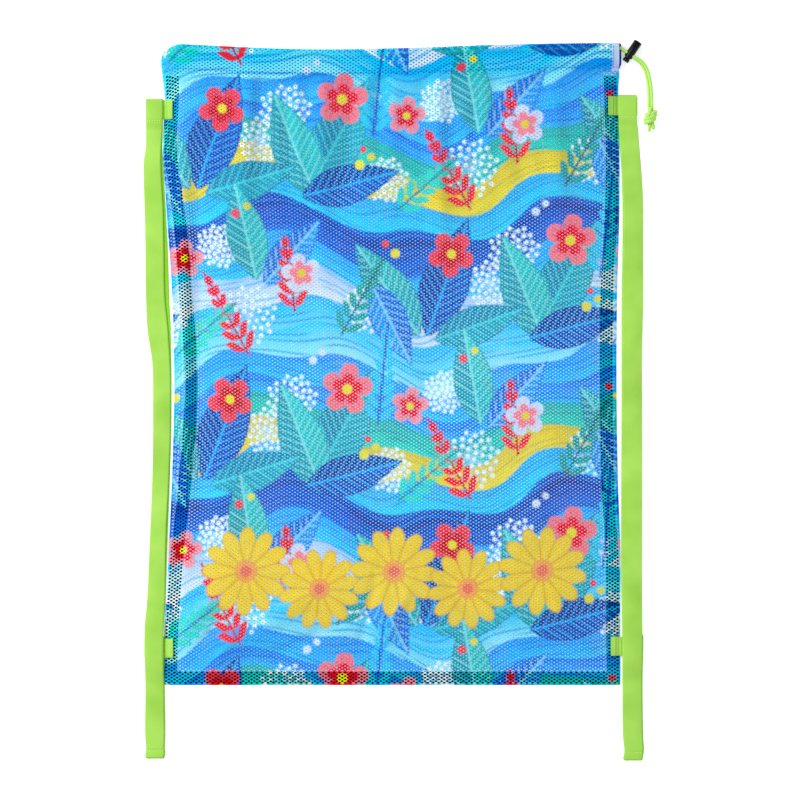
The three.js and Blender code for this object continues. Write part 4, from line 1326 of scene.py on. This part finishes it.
STRAP_DOME = 0.6  # how far a strap's middle stands up
STRAP_FREE_ABOVE = (-230.0, -180.0)  # stretch above the lower tab in which it comes free
STRAP_FREE_BELOW = (170.0, 210.0)  # and below the upper tab
STRAP_RISE = 0.5  # half the height of its rise between the tabs
STRAP_ROLL = 0.08  # its steepest slope from edge to edge there
ROLL_ARM = WEBBING_WIDTH / 2 + 4  # a roll lifts the strap by its slope times this, so no edge sinks
SEAM_GROOVE = 0.45  # depth of the groove along a seam across it
SEAM_GROOVE_WIDTH = 1.1


def strap_line(side):
    """Heights along a strap, from its tail under the upper tab to its tail under the lower tab: flat
    runs, cubic climbs from layer to layer and half ovals at the folds. The rows are y, z and the number
    of the stop that the run leads to."""
    half = TAB_WIDTH / 2
    upper = TABS["upper_" + side][0]
    lower = TABS["lower_" + side][0]
    end = STRAPS[side]["lower_end"]
    upper_tail = upper - half - STITCH_TAIL
    lower_tail = lower - half - STITCH_TAIL
    upper_top = upper + half
    lower_top = lower + half
    main = [
        (upper_top, LOOP_LEVEL), (upper - half, LOOP_LEVEL), (upper_tail, 1), (upper_tail - 1 - CLIMB, 0),
        (lower_top + FOLD_CLEAR + 2 * CLIMB, 0), (lower_top + FOLD_CLEAR, LOOP_LEVEL + 1),
        (lower - half, LOOP_LEVEL + 1), (lower_tail - 1 - CLIMB, 1), (end, 1),
    ]
    stops = [(upper_tail, 0), (upper_top, 0), *main, (end, 0), (lower_top, 0), (lower_top, LOOP_LEVEL),
             (lower - half, LOOP_LEVEL), (lower_tail, 1)]
    height = WEBBING / 2 + LAYER * np.array(stops)[:, 1]
    runs = [np.array([[stops[0][0], height[0], 0]])]
    for k in range(1, len(stops)):
        y0, y1 = stops[k - 1][0], stops[k][0]
        if y0 == y1:
            t = np.linspace(0, 1, FOLD_STEPS + 1)[1:]
            bulge = min(LOOP_BULGE, abs(height[k] - height[k - 1]) / 2)
            y = y0 + np.sign(y0 - stops[k - 2][0]) * bulge * np.sin(np.pi * t)
            z = lerp(height[k - 1], height[k], (1 - np.cos(np.pi * t)) / 2)
        else:
            span = abs(y1 - y0)
            step = LONG_STEP if span > LONG_RUN else SHORT_STEP
            t = np.linspace(0, 1, max(int(span / step), 6) + 1)[1:]
            y = lerp(y0, y1, t)
            z = lerp(height[k - 1], height[k], smoothstep(t, 0, 1))
        runs.append(np.stack([y, z, np.full_like(y, k)], -1))
    return np.concatenate(runs)


def on_main_run(run):
    """True on the strap's main run, which faces up from the upper loop to the lower end."""
    return (run >= FIRST_OF_MAIN) & (run <= LAST_OF_MAIN)


def strap_top(side, y):
    """Upper face of a strap's main run."""
    line = strap_line(side)
    main = line[on_main_run(line[:, 2])][::-1]
    return np.interp(y, main[:, 0], main[:, 1]) + WEBBING / 2


def strap_seams(side):
    """Places along a strap of the seams across it: under its upper tab and at its lower end."""
    return TABS["upper_" + side][0] - TAB_WIDTH / 2 - UPPER_SEAM, STRAPS[side]["lower_end"] + LOWER_SEAM


def folded_section(outer, inner, lower_inner):
    """The outline of webbing folded double along its length, at each station of a strap: an upper ply from
    the outer edge to the inner one, the fold at the outer edge and a lower ply that shows past the upper
    one on the bag's side. The plies meet in a narrow slit, and the upper one curls up where the lower one
    shows. The outline comes as places across, heights and a mark on the lower ply, which gets painted shade
    for lying in the shade of the upper one."""
    ply = WEBBING / 2
    share = np.linspace(0, 1, PLY_POINTS)[None]
    inwards = np.sign(inner - outer)[:, None]
    rim = outer[:, None] + inwards * ply
    upper = lerp(rim, inner[:, None] - inwards * PLY_EDGE, share)
    lower = lerp(rim, lower_inner[:, None] - inwards * PLY_EDGE, share)
    bend = np.linspace(np.pi / 2, 3 * np.pi / 2, RIM_POINTS)[None, 1:-1]
    fold = rim + inwards * ply * np.cos(bend)
    flat = np.ones_like(upper)
    places = [upper[:, ::-1], fold, lower, lower_inner[:, None], lower[:, ::-1], upper, inner[:, None]]
    curl = CURL * np.clip((lower_inner - inner)[:, None] * inwards / CURL_SHOWS, 0, 1) * share**3
    lifts = [ply + curl[:, ::-1], ply * np.sin(bend) + 0 * fold, -ply * flat, -ply / 2 + 0 * rim,
             -SLIT * flat, SLIT + curl, ply / 2 + curl[:, -1:]]
    ply_in_shade = np.concatenate([0 * upper, 0 * fold, flat, 1 + 0 * rim, flat, 0 * upper, 0 * rim], axis=1)
    return np.concatenate(places, axis=1), np.concatenate(lifts, axis=1), ply_in_shade


def add_straps():
    """Straps: doubled webbing carried along its line. Its main run is slightly domed across, and between
    the tabs it rises, falls and rolls from edge to edge by slow sines of its length."""
    for side, row in STRAPS.items():
        y, z, run = strap_line(side).T
        edges = row["edges"]
        outer, inner, lower_inner = (smooth_through(edges[:, 0], edges[:, k])(y) for k in (1, 2, 3))
        main = on_main_run(run)
        returning = run > LAST_OF_MAIN
        returned = np.where(returning, row["return_shift"], 0)
        between = smoothstep(y, *STRAP_FREE_ABOVE) * (1 - smoothstep(y, *STRAP_FREE_BELOW))
        roll = main * between * STRAP_ROLL * np.sin(y / 43 + 1.5 * np.sin(y / 71) + row["lower_end"])
        z = z + main * between * STRAP_RISE * (1 + np.sin(y / 17 + 2 * np.sin(y / 53)))
        lower_inner = np.where(main, lower_inner, inner)
        across, lift, ply_in_shade = folded_section(outer + returned, inner + returned, lower_inner + returned)
        # Painted shade: the lower ply and the ply that returns under a loop are drawn in the deeper colour.
        ply_in_shade = np.where(returning[:, None], 1.0, main[:, None] * ply_in_shade)
        middle = (outer + inner)[:, None] / 2
        dome = np.clip(1 - ((across - middle - returned[:, None]) / (WEBBING_WIDTH / 2)) ** 2, 0, 1)
        sewn = sum(np.exp(-((y - seam) / SEAM_GROOVE_WIDTH) ** 2) for seam in strap_seams(side))
        groove = SEAM_GROOVE * sewn[:, None] * (lift > 0.2)
        lift = lift + main[:, None] * (STRAP_DOME * dome - groove)
        lift = lift + roll[:, None] * (across - middle) + np.abs(roll)[:, None] * ROLL_ARM
        tangent = np.gradient(np.stack([y, z], -1), axis=0)
        normal = unit(np.stack([np.zeros_like(y), tangent[:, 1], -tangent[:, 0]], -1))
        path = np.stack([np.zeros_like(y), y, z], -1)
        rings = (path[:, None] + across[..., None] * np.array((1.0, 0, 0))
                 + lift[..., None] * normal[:, None])
        strap = closed_sweep("strap_" + side + "_webbing", rings, LIME_WEBBING,
                             marks={"ply_in_shade": ply_in_shade})
        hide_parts("strap_" + side)


STITCH_STATIONS = 5
STITCH_SIDES = 6
STITCH_RISE = 0.4  # half its height, as a share of its width
STITCH_SUNK = 0.2  # how deep it sits in a strap
SEAM_MARGIN = 0.8  # from a strap's edges to the ends of a seam across it
TAB_SEAM = 1.8  # from the groove of a tab to its seam
HEM_SEAM = 1.2  # from the hem's edge up to its stitches
END_SEAM = 2.6  # from the inner side of the casing's turned edge to its stitches
CASING_STITCH_LIFT = 0.25  # from the middle of the cloth
STITCHES = {
    # pitch, length, width
    "strap": (2.5, 1.4, 1.0),
    "tab": (1.9, 1.5, 0.6),
    "casing": (2.9, 2.3, 0.75),
}


def stitch_line(points, pitch):
    """Middles of stitches at an even pitch along a line of points, and their directions in XY."""
    places = np.arange(pitch / 2, lengths_along(points)[-1], pitch)
    middles = points_at(places, points)
    return middles, (points_at(places + 0.1, points) - middles) * (1, 1, 0)


def add_stitches(kind, name, lines, material):
    """Stitches along lines of points, as spindles: rings whose radius follows a half circle along each
    stitch, flattened in Z."""
    pitch, length, width = STITCHES[kind]
    rows = [stitch_line(line, pitch) for line in lines]
    middles = np.concatenate([row[0] for row in rows])
    ways = unit(np.concatenate([row[1] for row in rows]))
    stations = np.linspace(-1, 1, STITCH_STATIONS)
    turn = np.arange(STITCH_SIDES) / STITCH_SIDES * 2 * np.pi
    round_off = np.sqrt(1 - stations**2)[:, None]
    asides = np.stack([-ways[:, 1], ways[:, 0], 0 * ways[:, 0]], -1)
    along = (stations * length / 2)[None, :, None, None] * ways[:, None, None]
    aside = (round_off * np.cos(turn) * width / 2)[None, ..., None] * asides[:, None, None]
    lift = (round_off * np.sin(turn) * width * STITCH_RISE)[None, ..., None] * np.array((0, 0, 1.0))
    points = middles[:, None, None] + along + aside + lift
    quads, _, _ = grid_quads(STITCH_STATIONS, STITCH_SIDES, ring=True)
    first = np.arange(len(middles)) * STITCH_STATIONS * STITCH_SIDES
    faces = (quads[None] + first[:, None, None]).reshape(-1, 4)
    if not outwards(points, faces):
        faces = faces[:, ::-1]
    piece = put_piece(name, points, faces, material)
    merge_doubles(piece.data)
    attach(piece, "bag")


def strap_sewing(side):
    """Lines of sewing across a strap, sunk into its domed face."""
    lines = []
    for y in strap_seams(side):
        edges = STRAPS[side]["edges"]
        outer, inner = (np.interp(y, edges[:, 0], edges[:, k]) for k in (1, 2))
        inwards = np.sign(inner - outer)
        x = np.linspace(outer + inwards * SEAM_MARGIN, inner - inwards * SEAM_MARGIN, 60)
        dome = STRAP_DOME * (1 - ((x - (outer + inner) / 2) / (WEBBING_WIDTH / 2)) ** 2)
        lines.append(np.stack([x, np.full_like(x, y), strap_top(side, y) + dome - STITCH_SUNK], -1))
    return lines


def tab_sewing(name):
    """The line of sewing through a tab's turned-under end."""
    middle, outer, inner = TABS[name]
    y = np.linspace(middle - TAB_WIDTH / 2 + 1, middle + TAB_WIDTH / 2 - 1, 20)
    x = np.full_like(y, inner + np.sign(outer) * (TAB_TURNED - TAB_SEAM))
    return np.stack([x, y, tab_height(name, x) + WEBBING / 2], -1)


def casing_sewing():
    """The lines of sewing under the casing and up its turned edge."""
    hem_x = np.linspace(left_edge(CASING_FLARE[0]) + 2, right_edge(CASING_FLARE[0]) + 1, 300)
    hem_y = mouth_edge(hem_x) - HEM + HEM_SEAM
    corner = MOUTH[-1, 1]
    end_y = np.linspace(corner - HEM, corner - 2.5, 40)
    end_x = np.full_like(end_y, right_edge(corner) - CASING_EDGE + END_SEAM)
    return [np.stack([x, y, front_height(x, y) + CASING_STITCH_LIFT], -1)
            for x, y in ((hem_x, hem_y), (end_x, end_y))]


def add_sewing():
    """Sewing: rows across the strap ends and the tabs, the line under the casing and its end."""
    for side in STRAPS:
        add_stitches("strap", "stitches_strap_" + side, strap_sewing(side), LIME_THREAD)
    for name in TABS:
        add_stitches("tab", "stitches_tab_" + name, [tab_sewing(name)], LIME_THREAD)
    add_stitches("casing", "stitches_casing", casing_sewing(), BLUE_THREAD)


HIDDEN_STEP = 1.5  # the cord in the casings is coarser, since it hardly shows through the net
HIDDEN_SIDES = 12
HIDDEN_TIP = 2
HIDDEN_SHORT = 0.5  # it ends this far short of the free strands
HIDDEN_DROP = 0.5  # and lies this much lower in the front casing


def hem_top(x):
    """The mouth edge above a place in the hem, which the notch at the left has cut short."""
    left = left_edge(MOUTH[0, 1])
    right = right_edge(MOUTH[0, 1])
    u = np.clip((x - left - TURN_NOTCH) / (right - left - TURN_NOTCH), 0, 1)
    return mouth_edge(lerp(left, right, u))


def add_casing_cord():
    """The drawcord inside the casings: along the front one, round a half circle at the left and back."""
    def tunnel(facing, height):
        """Middle of a casing's tunnel, from left to right."""
        x = np.linspace(left_edge(MOUTH[0, 1]) + TURN_INSET, FRONT_STRAND[0, 0] - HIDDEN_SHORT, 60)
        y = hem_top(x) - CORD_DROP
        return np.stack([x, y, height(x, y) - facing * FOLD_RADIUS], -1)

    front = tunnel(1, lambda x, y: front_height(x, y) - HIDDEN_DROP)[::-1]
    back = tunnel(-1, back_height)
    angle = np.linspace(0, np.pi, 9)[1:-1]
    middle = (front[-1] + back[0]) / 2
    radius = (front[-1, 2] - back[0, 2]) / 2
    turn = np.stack([middle[0] - radius * np.sin(angle), np.full_like(angle, middle[1]),
                     middle[2] + radius * np.cos(angle)], -1)
    stops = np.concatenate([front[::3], front[-1:], turn, back[:1], back[3::3], back[-1:]])
    path = cord_route(stops, HIDDEN_STEP)
    rings = tube_rings(path, CORD / 2 * rounded_ends(len(path), HIDDEN_TIP), HIDDEN_SIDES, (0, 1, 0))
    cord = closed_sweep("drawcord_in_casing", rings, LIME_CORD)
    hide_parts("drawcord_front_run", "drawcord_turn", "drawcord_back_run")


add_bindings()
add_tabs()
add_straps()
add_casing_cord()
add_sewing()
